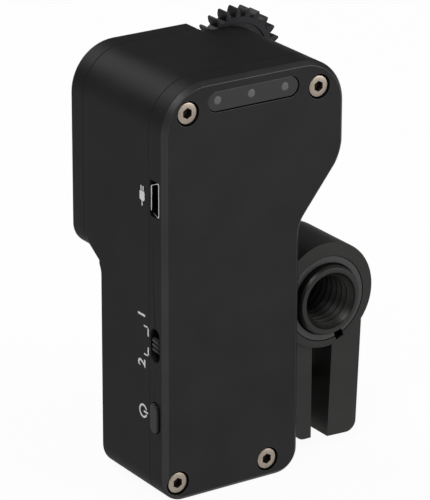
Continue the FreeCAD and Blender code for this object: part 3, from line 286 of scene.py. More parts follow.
class Viewpoint(PropertyGroup):
    """Where the photograph was taken from."""
    azimuth: FloatProperty(name="Azimuth", description="Bearing of the camera, from the front",
                           default=math.radians(-33.50), subtype="ANGLE")
    elevation: FloatProperty(name="Elevation", description="Height angle of the camera",
                             default=math.radians(20.94), subtype="ANGLE")
    roll: FloatProperty(name="Roll", description="Roll of the camera",
                        default=math.radians(0.13), subtype="ANGLE")
    distance: FloatProperty(name="Distance", description="Distance of the camera from its aim",
                            default=0.680, unit="LENGTH")
    focal: FloatProperty(name="Focal length", description="Focal length for a 36 mm frame",
                         default=246.4)
    aim: FloatVectorProperty(name="Aim", description="Point at the middle of the picture",
                             default=(-0.00438, -0.01215, 0.05304), size=3, subtype="XYZ",
                             unit="LENGTH", precision=5)


def settings(name):
    """One of the scene's groups of sizes or colours."""
    return getattr(bpy.context.scene, name)


# Modelling by hand

def alone(piece):
    """Make a piece the only selected and the active object."""
    bpy.ops.object.select_all(action="DESELECT")
    piece.select_set(True)
    bpy.context.view_layer.objects.active = piece


def settled(name):
    """Name the object that was just added and put its place into its mesh."""
    piece = bpy.context.object
    piece.name = name
    piece.data.name = name
    alone(piece)
    bpy.ops.object.transform_apply(location=True, rotation=True, scale=True)
    return piece


@contextmanager
def editing(piece):
    """Open a piece in edit mode with nothing selected, and close it again."""
    alone(piece)
    bpy.ops.object.mode_set(mode="EDIT")
    bpy.ops.mesh.select_mode(type="VERT")
    bpy.ops.mesh.select_all(action="DESELECT")
    yield piece
    bpy.ops.object.mode_set(mode="OBJECT")


def pick(piece, kind, test):
    """Select just the vertices, edges or faces of the open piece that pass a test."""
    bpy.ops.mesh.select_mode(type=kind)
    bpy.ops.mesh.select_all(action="DESELECT")
    mesh = bmesh.from_edit_mesh(piece.data)
    mesh.normal_update()
    found = 0
    for item in {"VERT": mesh.verts, "EDGE": mesh.edges, "FACE": mesh.faces}[kind]:
        if test(item):
            item.select_set(True)
            found += 1
    if not found:
        raise RuntimeError(f"nothing to select on {piece.name}")
    mesh.select_flush_mode()
    bmesh.update_edit_mesh(piece.data)


def bevel(width, steps=2, finish=-1):
    """Round the selected edges, or with one step break them, in a finish of the piece."""
    bpy.ops.mesh.bevel(offset_type="OFFSET", offset=width, segments=steps, profile=0.5,
                       affect="EDGES", clamp_overlap=False, material=finish)


def along(edge, way):
    """Whether an edge runs along X, Y or Z."""
    run = edge.verts[1].co - edge.verts[0].co
    return run.length > CLOSE and abs(run.normalized().dot(WAYS[way])) > 0.9999


def on_plane(edge, axis, place, margin=CLOSE):
    """Whether both ends of an edge lie at one place on an axis, 0 to 2."""
    return all(abs(point.co[axis] - place) < margin for point in edge.verts)


def away(point, centre, axis):
    """Distance of a point from a line through a centre along an axis, 0 to 2."""
    step = point - Vector(centre)
    step[axis] = 0
    return step.length


def block(name, low, high):
    """A box between two corners, as the start of a piece."""
    low, high = Vector(low), Vector(high)
    bpy.ops.object.select_all(action="DESELECT")
    bpy.ops.mesh.primitive_cube_add(size=1, location=(low + high) / 2, scale=high - low)
    return settled(name)


def rounded_block(name, low, high, way, radius, steps=8):
    """A box whose four edges along one way are rounded."""
    piece = block(name, low, high)
    with editing(piece):
        pick(piece, "EDGE", lambda edge: along(edge, way))
        bevel(radius, steps)
        bpy.ops.mesh.select_all(action="SELECT")
        bpy.ops.mesh.remove_doubles(threshold=WELD)
    return piece


def pill(name, low, high, way, steps=12):
    """A bar with fully round ends, seen along one way."""
    spans = [high[i] - low[i] for i in range(3) if i != "XYZ".index(way)]
    return rounded_block(name, low, high, way, min(spans) / 2 - CLOSE / 4, steps)


def bar(name, radius, start, end, way="Y", sides=48, turn=0.0):
    """A round bar between two points that lie along one way."""
    start, end = Vector(start), Vector(end)
    turns = {"X": (0, math.pi / 2, 0), "Y": (math.pi / 2, 0, 0), "Z": (0, 0, 0)}
    bpy.ops.object.select_all(action="DESELECT")
    bpy.ops.mesh.primitive_cylinder_add(vertices=sides, radius=radius, depth=(end - start).length,
                                        location=(start + end) / 2, rotation=turns[way])
    piece = settled(name)
    if turn:
        with editing(piece):
            bpy.ops.mesh.select_all(action="SELECT")
            bpy.ops.transform.rotate(value=turn, orient_axis=way, orient_type="GLOBAL",
                                     center_override=start)
    return piece


def lathe(name, profile, centre, way="Y", steps=64):
    """Spin a profile of (radius, place) pairs round a line through a centre."""
    out = {"X": Vector((0, 0, 1)), "Y": Vector((1, 0, 0)), "Z": Vector((1, 0, 0))}[way]
    base = Vector(centre)
    base["XYZ".index(way)] = 0
    points = [base + out * radius + WAYS[way] * place for radius, place in profile]
    bpy.ops.object.select_all(action="DESELECT")
    bpy.ops.mesh.primitive_plane_add(size=MM, location=points[0])
    piece = settled(name)
    with editing(piece):
        bpy.ops.mesh.select_all(action="SELECT")
        bpy.ops.mesh.merge(type="CENTER")
        for here, there in zip(points, points[1:]):
            bpy.ops.mesh.extrude_vertices_move(TRANSFORM_OT_translate={"value": there - here})
        bpy.ops.mesh.select_all(action="SELECT")
        bpy.ops.mesh.spin(steps=steps, angle=2 * math.pi, center=base, axis=WAYS[way])
        bpy.ops.mesh.select_all(action="SELECT")
        bpy.ops.mesh.remove_doubles(threshold=WELD)
        bpy.ops.mesh.normals_make_consistent(inside=False)
    return piece


def carve(piece, *tools, operation="DIFFERENCE"):
    """Take other shapes out of a piece, add them, or keep what they share."""
    for tool in tools:
        change = piece.modifiers.new("change", "BOOLEAN")
        change.operation = operation
        change.solver = "EXACT"
        change.object = tool
        alone(piece)
        bpy.ops.object.modifier_apply(modifier=change.name)
        bpy.data.objects.remove(tool, do_unlink=True)
    return piece


def copied(piece, name, step):
    """A copy of a piece with its own mesh, moved by a step."""
    twin = piece.copy()
    twin.data = piece.data.copy()
    twin.name = name
    twin.data.name = name
    bpy.context.scene.collection.objects.link(twin)
    twin.data.transform(Matrix.Translation(step))
    return twin


def joined(name, *parts):
    """Several objects as one piece."""
    alone(parts[0])
    for part in parts:
        part.select_set(True)
    bpy.ops.object.join()
    parts[0].name = name
    parts[0].data.name = name
    return parts[0]


def soft_edges(piece, width, angle=35.0, steps=2):
    """Round every edge of a piece that is sharper than an angle in degrees."""
    edge = piece.modifiers.new("edges", "BEVEL")
    edge.width = width
    edge.segments = steps
    edge.limit_method = "ANGLE"
    edge.angle_limit = math.radians(angle)
    edge.use_clamp_overlap = True
    alone(piece)
    bpy.ops.object.modifier_apply(modifier=edge.name)
    return piece


def smooth(piece, angle=32.0):
    """Shade a piece smoothly, with flat faces kept flat."""
    alone(piece)
    bpy.ops.object.shade_smooth_by_angle(angle=math.radians(angle))
    weigh = piece.modifiers.new("flats", "WEIGHTED_NORMAL")
    weigh.keep_sharp = True
    bpy.ops.object.modifier_apply(modifier=weigh.name)


def paint(piece, *finishes):
    """Give a piece its finishes, the first of them all over."""
    piece.data.materials.clear()
    for finish in finishes:
        piece.data.materials.append(finish)
    return piece


def done(piece, body="housing", nodes=(), angle=32.0):
    """Shade a finished piece, set it on its body and hide the frame's nodes that it stands for."""
    smooth(piece, angle)
    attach(piece, body)
    if nodes:
        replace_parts(piece, *nodes)
    return piece


# Finishes

class Value:
    """A shader socket in arithmetic."""

    def __init__(self, finish, socket):
        self.finish = finish
        self.socket = socket

    def maths(self, operation, first, second=None):
        inputs = {0: first}
        if second is not None:
            inputs[1] = second
        return self.finish.node("ShaderNodeMath", {"operation": operation}, inputs)

    def __add__(self, other):
        return self.maths("ADD", self, other)

    def __radd__(self, other):
        return self.maths("ADD", other, self)

    def __mul__(self, other):
        return self.maths("MULTIPLY", self, other)

    def __rmul__(self, other):
        return self.maths("MULTIPLY", other, self)

    def sine(self):
        return self.maths("SINE", self)

    def maximum(self, other):
        return self.maths("MAXIMUM", self, other)


class Nodes:
    """A node tree while it is being made."""

    def __init__(self, tree):
        self.tree = tree

    def node(self, kind, choices=None, inputs=None, output=0):
        """Add a node: its settings first, then the values or links of its sockets."""
        made = self.tree.nodes.new(kind)
        for name, value in (choices or {}).items():
            if name == "stops":
                ramp = made.color_ramp.elements
                while len(ramp) < len(value):
                    ramp.new(0.5)
                for stop, (place, shade) in zip(ramp, value):
                    stop.position = place
                    stop.color = (*shade, 1.0)
            else:
                setattr(made, name, value)
        for name, value in (inputs or {}).items():
            if isinstance(value, Value):
                self.tree.links.new(value.socket, made.inputs[name])
            else:
                made.inputs[name].default_value = value
        return Value(self, made.outputs[output])

    def join(self, value, socket):
        """Join a value to a socket of another node."""
        self.tree.links.new(value.socket, socket)


class Finish(Nodes):
    """A procedural material while it is being made."""

    def __init__(self, name, metallic=0.0, **constants):
        self.material = bpy.data.materials.new(name)
        self.material.use_nodes = True
        super().__init__(self.material.node_tree)
        self.shader = self.tree.nodes["Principled BSDF"]
        self.shader.inputs["Metallic"].default_value = metallic
        for socket, value in constants.items():
            self.shader.inputs[socket.replace("_", " ")].default_value = value

    def place(self, moved=(0, 0, 0), scaled=(1, 1, 1)):
        """The surface's place on the unit, in metres, moved and then scaled."""
        where = self.node("ShaderNodeTexCoord", output="Object")
        return self.node("ShaderNodeMapping", {"vector_type": "POINT"},
                         {"Vector": where, "Location": moved, "Scale": scaled})

    def noise(self, size, detail=2.0, rough=0.5, scaled=(1, 1, 1)):
        """Soft noise whose grains are about as large as a size in metres."""
        return self.node("ShaderNodeTexNoise", inputs={
            "Vector": self.place(scaled=scaled), "Scale": 1 / size, "Detail": detail,
            "Roughness": rough})

    def spots(self, size):
        """Distance from the nearest of many scattered points."""
        return self.node("ShaderNodeTexVoronoi", inputs={"Vector": self.place(),
                                                         "Scale": 1 / size})

    def between(self, mask, low, high, new_low, new_high):
        """A value taken from one range to another and kept inside it."""
        return self.node("ShaderNodeMapRange", {"clamp": True}, {
            "Value": mask, "From Min": low, "From Max": high, "To Min": new_low,
            "To Max": new_high})

    def blend(self, mask, first, second):
        """One colour turning into another."""
        made = self.tree.nodes.new("ShaderNodeMix")
        made.data_type = "RGBA"
        for index, value in ((0, mask), (6, first), (7, second)):
            if isinstance(value, Value):
                self.tree.links.new(value.socket, made.inputs[index])
            else:
                made.inputs[index].default_value = (*value, 1.0) if index else value
        return Value(self, made.outputs[2])

    def feed(self, **sockets):
        """Join values to the shader's own sockets."""
        for name, value in sockets.items():
            self.join(value, self.shader.inputs[name.replace("_", " ")])

    def bump(self, height, depth, strength=1.0):
        """Raise the surface by a height of 0 to 1 times a depth in metres."""
        normal = self.node("ShaderNodeBump", inputs={"Height": height, "Distance": depth,
                                                     "Strength": strength})
        self.feed(Normal=normal)


def shade(colour, factor):
    """A colour made lighter or darker."""
    return tuple(part * factor for part in colour)


def grained(name, colour, metallic, gloss, grain, depth, spread=0.18, patch=0.012, **constants):
    """Blasted or anodised metal: fine grain, with slow changes of shade and gloss."""
    finish = Finish(name, metallic, **constants)
    slow = finish.noise(patch, 3.0)
    fine = finish.noise(grain, 2.0, 0.6)
    finish.feed(Base_Color=finish.blend(finish.between(slow * 0.6 + fine * 0.4, 0.3, 0.7, 0, 1),
                                        shade(colour, 1 - spread), shade(colour, 1 + spread)))
    finish.feed(Roughness=finish.between(slow * 0.5 + fine * 0.5, 0.3, 0.7, gloss - 0.05,
                                         gloss + 0.06))
    finish.bump(fine, depth)
    return finish.material


def turned(name, colour, metallic, gloss, centre, pitch, depth, spread=0.15, **constants):
    """Turned metal: fine rings round a line along Y, over a slow change of shade."""
    finish = Finish(name, metallic, **constants)
    place = finish.place((-centre.x, 0, -centre.z), (1, 0, 1))
    radius = finish.node("ShaderNodeVectorMath", {"operation": "LENGTH"}, {0: place},
                         output="Value")
    waver = finish.noise(0.004, 2.0)
    rings = (radius * (2 * math.pi / pitch) + waver * 5.0).sine()
    slow = finish.noise(0.006, 3.0)
    finish.feed(Base_Color=finish.blend(slow, shade(colour, 1 - spread), shade(colour, 1 + spread)))
    finish.feed(Roughness=finish.between(rings, -1, 1, gloss - 0.04, gloss + 0.05))
    finish.bump(finish.between(rings, -1, 1, 0, 1), depth)
    return finish.material


def moulded(name, colour, gloss, grain, depth, **constants):
    """Moulded plastic with a fine eroded texture."""
    finish = Finish(name, 0.0, **constants)
    pits = finish.spots(grain)
    slow = finish.noise(0.005, 3.0)
    finish.feed(Base_Color=finish.blend(slow, shade(colour, 0.8), shade(colour, 1.2)))
    finish.feed(Roughness=finish.between(pits, 0, 0.8, gloss + 0.06, gloss - 0.04))
    finish.bump(pits, depth)
    return finish.material


def drawn(name, colour, metallic, gloss, way, pitch, depth, spread=0.12, **constants):
    """Brushed or drawn metal with fine lines along one way."""
    finish = Finish(name, metallic, **constants)
    squeeze = [0.03 if axis == way else 1.0 for axis in "XYZ"]
    lines = finish.noise(pitch, 3.0, 0.6, scaled=squeeze)
    slow = finish.noise(0.008, 2.0)
    finish.feed(Base_Color=finish.blend(slow * 0.5 + lines * 0.5, shade(colour, 1 - spread),
                                        shade(colour, 1 + spread)))
    finish.feed(Roughness=finish.between(lines, 0.3, 0.7, gloss - 0.06, gloss + 0.06))
    finish.bump(lines, depth)
    return finish.material


def finish_of(kind):
    """The material of one of the unit's finishes, made when it is first asked for."""
    name = f"{kind}_finish"
    if name in bpy.data.materials:
        return bpy.data.materials[name]
    colours = settings("unit_finishes")
    makers = {
        "housing": lambda: grained(name, colours.housing, 0.85, 0.5, 0.00016, 0.000006,
                                   Specular_Tint=(0.5, 0.5, 0.5, 1.0)),
        # Painted highlight: the lighter housing colour for broken edges that catch the light.
        "housing_edge_highlight": lambda: grained(name, colours.housing_edge_highlight, 0.85, 0.40, 0.0002, 0.000004,
                                        Specular_Tint=(0.5, 0.5, 0.5, 1.0)),
        "clamp": lambda: grained(name, colours.clamp, 0.8, 0.46, 0.00018, 0.000005,
                                 Specular_Tint=(0.5, 0.5, 0.5, 1.0)),
        "liner": lambda: turned(name, colours.liner, 0.3, 0.34, ROD, 0.00022, 0.000004,
                                Specular_IOR_Level=0.6),
        "rod": lambda: drawn(name, colours.rod, 0.8, 0.38, "Y", 0.0006, 0.000004),
        # Painted shade for the inside of the rod's threaded bore.
        "bore": lambda: turned(name, colours.bore, 0.5, 0.42, ROD, 0.0004, 0.000004),
        "screw": lambda: grained(name, colours.screw, 1.0, 0.42, 0.0003, 0.000004, 0.15, 0.003),
        # Painted shade for the insides of the screws' sockets.
        "socket": lambda: grained(name, colours.socket, 0.6, 0.5, 0.0003, 0.000004, 0.15, 0.003),
        "gear": lambda: grained(name, colours.gear, 0.8, 0.42, 0.00016, 0.000005,
                                Specular_Tint=(0.5, 0.5, 0.5, 1.0)),
        "port": lambda: drawn(name, colours.port, 0.15, 0.38, "X", 0.0003, 0.000003),
        "plastic": lambda: moulded(name, colours.plastic, 0.42, 0.0002, 0.000008,
                                   Specular_IOR_Level=0.2),
        "window": lambda: moulded(name, colours.window, 0.14, 0.0015, 0.000002,
                                  Specular_IOR_Level=0.42),
        "lamp": lambda: moulded(name, colours.lamp, 0.35, 0.0003, 0.000004),
        "mark": lambda: moulded(name, colours.mark, 0.55, 0.00012, 0.000004),
        "steel": lambda: drawn(name, (0.55, 0.54, 0.53), 1.0, 0.28, "Y", 0.0003, 0.000003),
        "dark_steel": lambda: drawn(name, (0.09, 0.09, 0.09), 1.0, 0.36, "Y", 0.0003, 0.000003),
        "gear_plastic": lambda: moulded(name, (0.62, 0.60, 0.55), 0.45, 0.0003, 0.000006),
        "brass": lambda: turned(name, (0.70, 0.50, 0.22), 1.0, 0.28, PINION, 0.0002, 0.000003),
        "board": lambda: moulded(name, (0.012, 0.05, 0.028), 0.35, 0.0006, 0.000006),
        # Painted light: a pale colour for the port's tongue, standing in for the lit inside of the
        # port.
        "tongue_painted_light": lambda: moulded(name, (0.42, 0.42, 0.41), 0.5, 0.0003, 0.000004),
        "black_plastic": lambda: moulded(name, (0.014, 0.014, 0.014), 0.45, 0.0003, 0.000008),
        "can": lambda: drawn(name, (0.50, 0.50, 0.49), 1.0, 0.32, "Y", 0.0004, 0.000004),
        "magnet": lambda: grained(name, (0.06, 0.06, 0.065), 0.4, 0.5, 0.0003, 0.00001),
        "contact": lambda: drawn(name, (0.80, 0.58, 0.24), 1.0, 0.25, "X", 0.0003, 0.000002),
    }
    return makers[kind]()


# Housing

def corner_offset(radius, turn):
    """How far back from a corner a round of a radius starts."""
    return radius * math.tan(turn / 2)


def stepped_block(name, inset, start, end):
    """The housing's stepped outline, drawn in by an inset, as a block between two depths."""
    sizes = settings("housing_sizes")
    low_right = LEFT + sizes.low_width
    step = RIGHT_TOP - low_right
    turn = math.atan2(step, sizes.shoulder - sizes.waist)
    lift = inset * math.tan(math.pi / 4 - (math.pi / 2 - turn) / 2)
    waist, shoulder = sizes.waist + lift, sizes.shoulder + lift
    right, widest = low_right - inset, RIGHT_TOP - inset
    piece = block(name, (LEFT + inset, start, inset), (right, end, TOP - inset))
    with editing(piece):
        for height in (waist, shoulder):
            bpy.ops.mesh.select_all(action="SELECT")
            bpy.ops.mesh.bisect(plane_co=(0, 0, height), plane_no=(0, 0, 1))
        pick(piece, "VERT",
             lambda point: point.co.x > right - CLOSE and point.co.z > shoulder - CLOSE)
        bpy.ops.transform.translate(value=(step, 0, 0))
        bpy.ops.mesh.select_all(action="SELECT")
        bpy.ops.mesh.dissolve_limited(angle_limit=0.01)
        square = math.pi / 2
        for x, z, radius, bend in (
                (LEFT + inset, inset, sizes.bottom_round - inset, square),
                (right, inset, sizes.bottom_round - inset, square),
                (right, waist, sizes.waist_round + inset, turn),
                (widest, shoulder, sizes.shoulder_round - inset, turn),
                (widest, TOP - inset, sizes.top_round - inset, square),
                (LEFT + inset, TOP - inset, sizes.top_round - inset, square)):
            pick(piece, "EDGE", lambda edge: along(edge, "Y")
                 and away(edge.verts[0].co, (x, 0, z), 1) < CLOSE * 5)
            bevel(corner_offset(radius, bend), 14)
    return piece


def cover_places():
    """Places of the front cover's screws, seen from the front."""
    return [(-10.7 * MM, 82.7 * MM), (20.5 * MM, 82.7 * MM), (-13.1 * MM, 4.25 * MM),
            (8.7 * MM, 4.25 * MM)]


def rear_places():
    """Places of the rear cover's screws, seen from the front."""
    return [(-10.7 * MM, 82.7 * MM), (-10.7 * MM, 51.1 * MM), (11.9 * MM, 51.1 * MM)]


def side_slot(name, rise, height, grow=0.0, square=False):
    """A tool for one of the openings in the left side, with round ends or small corners."""
    sizes = settings("control_sizes")
    reach = settings("housing_sizes").side_wall + sizes.slot_reach
    y = FRONT + sizes.slot_depth
    half = sizes.slot_width / 2 + grow
    low = (LEFT - MM, y - half, rise - height / 2 - grow)
    high = (LEFT + reach, y + half, rise + height / 2 + grow)
    if square:
        return rounded_block(name, low, high, "X", sizes.port_corner, 4)
    return pill(name, low, high, "X")


def posts(name, places, radius, start, end, sides=48):
    """Tools for round bars along Y, one at each of several places."""
    return [bar(f"{name}_{index}", radius, (x, start, z), (x, end, z), sides=sides)
            for index, (x, z) in enumerate(places)]


def in_wells(edge, places):
    """Whether an edge belongs to the rim of a screw's well."""
    radius = settings("screw_sizes").well_radius + CLOSE
    return any(all(away(point.co, (x, 0, z), 1) < radius for point in edge.verts)
               for x, z in places)


def in_window(edge):
    """Whether an edge belongs to the rim of the window's opening."""
    sizes = settings("control_sizes")
    half = sizes.window_height / 2 + CLOSE
    return all(abs(point.co.z - sizes.window_rise) < half
               and sizes.window_left - CLOSE < point.co.x < sizes.window_right + CLOSE
               for point in edge.verts)


def in_slots(edge):
    """Whether an edge belongs to the rim of an opening in the left side."""
    sizes = settings("control_sizes")
    y = FRONT + sizes.slot_depth
    near = sizes.button_play + CLOSE
    spans = ((sizes.port_rise, sizes.port_length), (sizes.slider_rise, sizes.slider_slot),
             (sizes.button_rise, sizes.button_length))
    return on_plane(edge, 0, LEFT) and all(
        abs(point.co.y - y) < sizes.slot_width / 2 + near
        and any(abs(point.co.z - rise) < height / 2 + near for rise, height in spans)
        for point in edge.verts)


def model_front_cover():
    """The front shell with its broken edge, wells, window recess and side openings."""
    sizes = settings("housing_sizes")
    screws = settings("screw_sizes")
    controls = settings("control_sizes")
    places = cover_places()
    shell = paint(stepped_block("front_shell", 0.0, FRONT, SEAM_FRONT), finish_of("housing"),
                  finish_of("housing_edge_highlight"))
    chamfer = sizes.front_chamfer
    fine = sizes.fine_edge
    # The broken front edge and its fine rounds take the second finish, a painted highlight.
    with editing(shell):
        pick(shell, "EDGE", lambda edge: on_plane(edge, 1, FRONT))
        bevel(chamfer, 1, 1)
        pick(shell, "EDGE", lambda edge: on_plane(edge, 1, FRONT))
        bevel(fine, 2, 1)
        pick(shell, "EDGE", lambda edge: on_plane(edge, 1, FRONT + chamfer))
        bevel(fine * 2, 2)
        pick(shell, "EDGE", lambda edge: on_plane(edge, 1, SEAM_FRONT))
        bevel(sizes.seam_edge, 3)
    inner = stepped_block("inner", sizes.side_wall, FRONT + sizes.front_wall, SEAM_FRONT + MM)
    carve(inner, *posts("boss", places, screws.well_radius + screws.boss_wall, FRONT,
                        SEAM_FRONT + 2 * MM))
    carve(shell, inner)
    carve(shell,
          *posts("well", places, screws.well_radius, FRONT - MM, FRONT + screws.recess),
          *posts("hole", places, screws.shank_radius + screws.play, FRONT, SEAM_FRONT + MM, 24))
    half = controls.window_height / 2
    carve(shell, pill("window_hole",
                      (controls.window_left, FRONT - MM, controls.window_rise - half),
                      (controls.window_right, FRONT + 2 * MM, controls.window_rise + half), "Y"))
    carve(shell,
          side_slot("port_hole", controls.port_rise, controls.port_length, square=True),
          side_slot("slider_hole", controls.slider_rise, controls.slider_slot),
          side_slot("button_hole", controls.button_rise, controls.button_length,
                    controls.button_play))
    with editing(shell):
        # The rims of the wells and the window also take the second finish, a painted highlight.
        pick(shell, "EDGE", lambda edge: on_plane(edge, 1, FRONT)
             and (in_wells(edge, places) or in_window(edge)))
        bevel(fine, 2, 1)
        pick(shell, "EDGE", in_slots)
        bevel(fine, 2)
    return done(shell, nodes=["front_cover"])


def under_corner(name, side, start, end, first, last):
    """A tool for a lower side corner whose round grows from the step back to the seam."""
    sizes = settings("housing_sizes")
    x = LEFT if side < 0 else LEFT + sizes.low_width
    centre = (x - side * last, 0, sizes.under + last)
    low = (min(x + side * MM, x - side * last), start, sizes.under - MM)
    high = (max(x + side * MM, x - side * last), end, sizes.under + last)
    tool = carve(block(name, low, high),
                 bar("round", last, (centre[0], start - MM, centre[2]),
                     (centre[0], end + MM, centre[2]), sides=96))
    if first < last:
        with editing(tool):
            pick(tool, "VERT", lambda point: abs(point.co.y - start) < CLOSE)
            bpy.ops.transform.resize(value=(first / last, 1, first / last),
                                     center_override=(x, start, sizes.under))
    with editing(tool):
        pick(tool, "VERT", lambda point: point.co.z < sizes.under - CLOSE * 5)
        bpy.ops.transform.translate(value=(0, 0, -sizes.ramp_round))
    return tool


def low_relief():
    """A tool for what isn't there behind the lower housing, under the hollow ramp."""
    sizes = settings("housing_sizes")
    wide = (LEFT - MM, RIGHT_TOP + MM)
    ramp_y = sizes.low_back + sizes.ramp_round
    ramp_z = sizes.under - sizes.ramp_round
    tool = block("relief", (wide[0], sizes.low_back, -MM), (wide[1], BACK, ramp_z))
    return carve(tool, bar("ramp", sizes.ramp_round, (wide[0], ramp_y, ramp_z),
                           (wide[1], ramp_y, ramp_z), "X", 64),
                 block("under", (wide[0], ramp_y, ramp_z - MM), (wide[1], BACK, sizes.under)),
                 operation="UNION")


def gear_room(name, start, end):
    """Tools for the room round the focus gear and round its pinion."""
    sizes = settings("gear_sizes")
    tips = ((GEAR, sizes.teeth), (PINION, sizes.pinion_teeth))
    return [bar(f"{name}_{index}", sizes.module * (teeth / 2 + 1) + sizes.pocket_gap,
                (at.x, start, at.z), (at.x, end, at.z), sides=96)
            for index, (at, teeth) in enumerate(tips)]


def model_main_housing():
    """The deep middle shell with its hollow ramp and the recess for the gears."""
    sizes = settings("housing_sizes")
    screws = settings("screw_sizes")
    gears = settings("gear_sizes")
    shell = paint(stepped_block("middle_shell", 0.0, SEAM_FRONT, SEAM_BACK), finish_of("housing"))
    carve(shell, low_relief())
    ramp = Vector((0, sizes.low_back + sizes.ramp_round, sizes.under - sizes.ramp_round))

    def low_rim(edge):
        """Whether an edge bounds the lower rear face or the side of the ramp."""
        on_back = on_plane(edge, 1, sizes.low_back)
        on_ramp = all(abs(away(point.co, ramp, 0) - sizes.ramp_round) < 0.01 * MM
                      and point.co.z > ramp.z - CLOSE and point.co.y < ramp.y + CLOSE
                      for point in edge.verts)
        return (on_back or on_ramp) and edge.calc_face_angle(0) > math.radians(40)

    with editing(shell):
        pick(shell, "EDGE", low_rim)
        bevel(sizes.low_round, 5)
    for side in (-1, 1):
        carve(shell, under_corner(f"under_{side}", side, sizes.low_back, SEAM_BACK + MM,
                                  sizes.under_start, sizes.under_round
                                  * (1 + MM / (SEAM_BACK - sizes.low_back))))
    with editing(shell):
        pick(shell, "EDGE", lambda edge: on_plane(edge, 1, SEAM_FRONT))
        bevel(sizes.seam_edge, 3)
        pick(shell, "EDGE", lambda edge: on_plane(edge, 1, SEAM_BACK))
        bevel(sizes.seam_edge, 3)
    inner = stepped_block("inner", sizes.side_wall, SEAM_FRONT - MM, sizes.web)
    carve(inner, block("behind", (LEFT, sizes.low_back - sizes.side_wall, 0),
                       (LEFT + sizes.low_width, sizes.recess, sizes.under + sizes.side_wall)))
    carve(inner, *posts("boss", cover_places(), screws.well_radius + screws.boss_wall,
                        SEAM_FRONT, SEAM_FRONT + screws.front_boss))
    carve(shell, inner)
    hole = screws.shank_radius + screws.play
    carve(shell, *gear_room("recess", sizes.recess, BACK),
          *posts("hole", cover_places(), hole, SEAM_FRONT - MM, SEAM_FRONT + screws.front_hole, 24),
          *posts("rear_hole", rear_places(), hole, SEAM_BACK - screws.rear_hole,
                 SEAM_BACK + MM, 24))
    for at, radius in ((GEAR, gears.axle_hole), (PINION, gears.bearing_hole)):
        carve(shell, bar("axle_hole", radius, (at.x, sizes.web - gears.hole_reach, at.z),
                         (at.x, sizes.recess + MM, at.z), sides=32))
    return done(shell, nodes=["main_housing"])


def model_back_cover():
    """The shallow rear shell, rounded all round and open for the focus gear."""
    sizes = settings("housing_sizes")
    screws = settings("screw_sizes")
    gears = settings("gear_sizes")
    places = rear_places()
    shell = paint(stepped_block("rear_shell", 0.0, SEAM_BACK, BACK), finish_of("housing"))
    carve(shell, block("below", (LEFT - MM, SEAM_BACK - MM, -MM),
                       (RIGHT_TOP + MM, BACK + MM, sizes.under)))
    with editing(shell):
        pick(shell, "EDGE", lambda edge: along(edge, "Y") and on_plane(edge, 2, sizes.under))
        bevel(sizes.under_round, 14)
        pick(shell, "EDGE", lambda edge: on_plane(edge, 1, BACK))
        bevel(sizes.back_round, 6)
        pick(shell, "EDGE", lambda edge: on_plane(edge, 1, SEAM_BACK))
        bevel(sizes.seam_edge, 3)
    inner = stepped_block("inner", sizes.side_wall, SEAM_BACK - MM, BACK - sizes.rear_wall)
    carve(inner, block("below", (LEFT, SEAM_BACK - 2 * MM, -MM),
                       (RIGHT_TOP, BACK + MM, sizes.under + sizes.under_wall)))
    tip = gears.module * (gears.teeth / 2 + 1) + gears.pocket_gap
    carve(inner, bar("collar", tip + sizes.collar_wall, (GEAR.x, SEAM_BACK - 2 * MM, GEAR.z),
                     (GEAR.x, BACK + MM, GEAR.z), sides=96),
          *posts("boss", places, screws.well_radius + screws.boss_wall, SEAM_BACK - 2 * MM,
                 BACK + MM))
    carve(shell, inner)
    wheel, pinion = gear_room("pocket", SEAM_BACK - MM, BACK + MM)
    carve(pinion, block("cap", (LEFT, BACK - sizes.rear_wall, 0), (RIGHT_TOP, BACK + 2 * MM, TOP)))
    carve(shell, wheel, pinion,
          *posts("well", places, screws.well_radius, BACK - screws.recess, BACK + MM),
          *posts("hole", places, screws.shank_radius + screws.play, SEAM_BACK - MM, BACK, 24))
    with editing(shell):
        pick(shell, "EDGE", lambda edge: on_plane(edge, 1, BACK) and (
            in_wells(edge, places)
            or all(away(point.co, GEAR, 1) < tip + CLOSE * 10 for point in edge.verts)))
        bevel(sizes.fine_edge * 1.5, 2)
    return done(shell, nodes=["back_cover"])


# Screws

def cap_screw(name, seat, head_radius, head_length, shank_radius, shank_length, socket, way, sign):
    """A cap screw whose socket is painted dark as painted shade: its head stands out from the seat,
    against its shank.
    """
    axis = "XYZ".index(way)
    edge = head_radius * 0.12
    top = seat[axis] - sign * head_length
    tip = seat[axis] + sign * shank_length
    profile = [
        (0.0, top), (head_radius - edge, top), (head_radius - edge * 0.3, top + sign * edge * 0.3),
        (head_radius, top + sign * edge), (head_radius, seat[axis] - sign * edge),
        (head_radius - edge * 0.7, seat[axis]), (shank_radius, seat[axis]),
        (shank_radius, tip - sign * shank_radius * 0.4), (shank_radius * 0.6, tip), (0.0, tip)]
    screw = paint(lathe(name, profile, seat, way, 48), finish_of("screw"), finish_of("socket"))
    far = Vector(seat)
    far[axis] = top - sign * MM
    near = Vector(seat)
    near[axis] = top + sign * head_length * 0.55
    carve(screw, bar(f"{name}_socket", socket / math.sqrt(3), far, near, way, 6))
    # The socket's faces take the second finish, a painted shade.
    with editing(screw):
        pick(screw, "FACE", lambda face: away(face.calc_center_median(), seat, axis) < socket * 0.56
             and (face.calc_center_median()[axis] - top) * sign > CLOSE
             and (near[axis] - face.calc_center_median()[axis]) * sign > -CLOSE)
        screw.active_material_index = 1
        bpy.ops.object.material_slot_assign()
    return screw


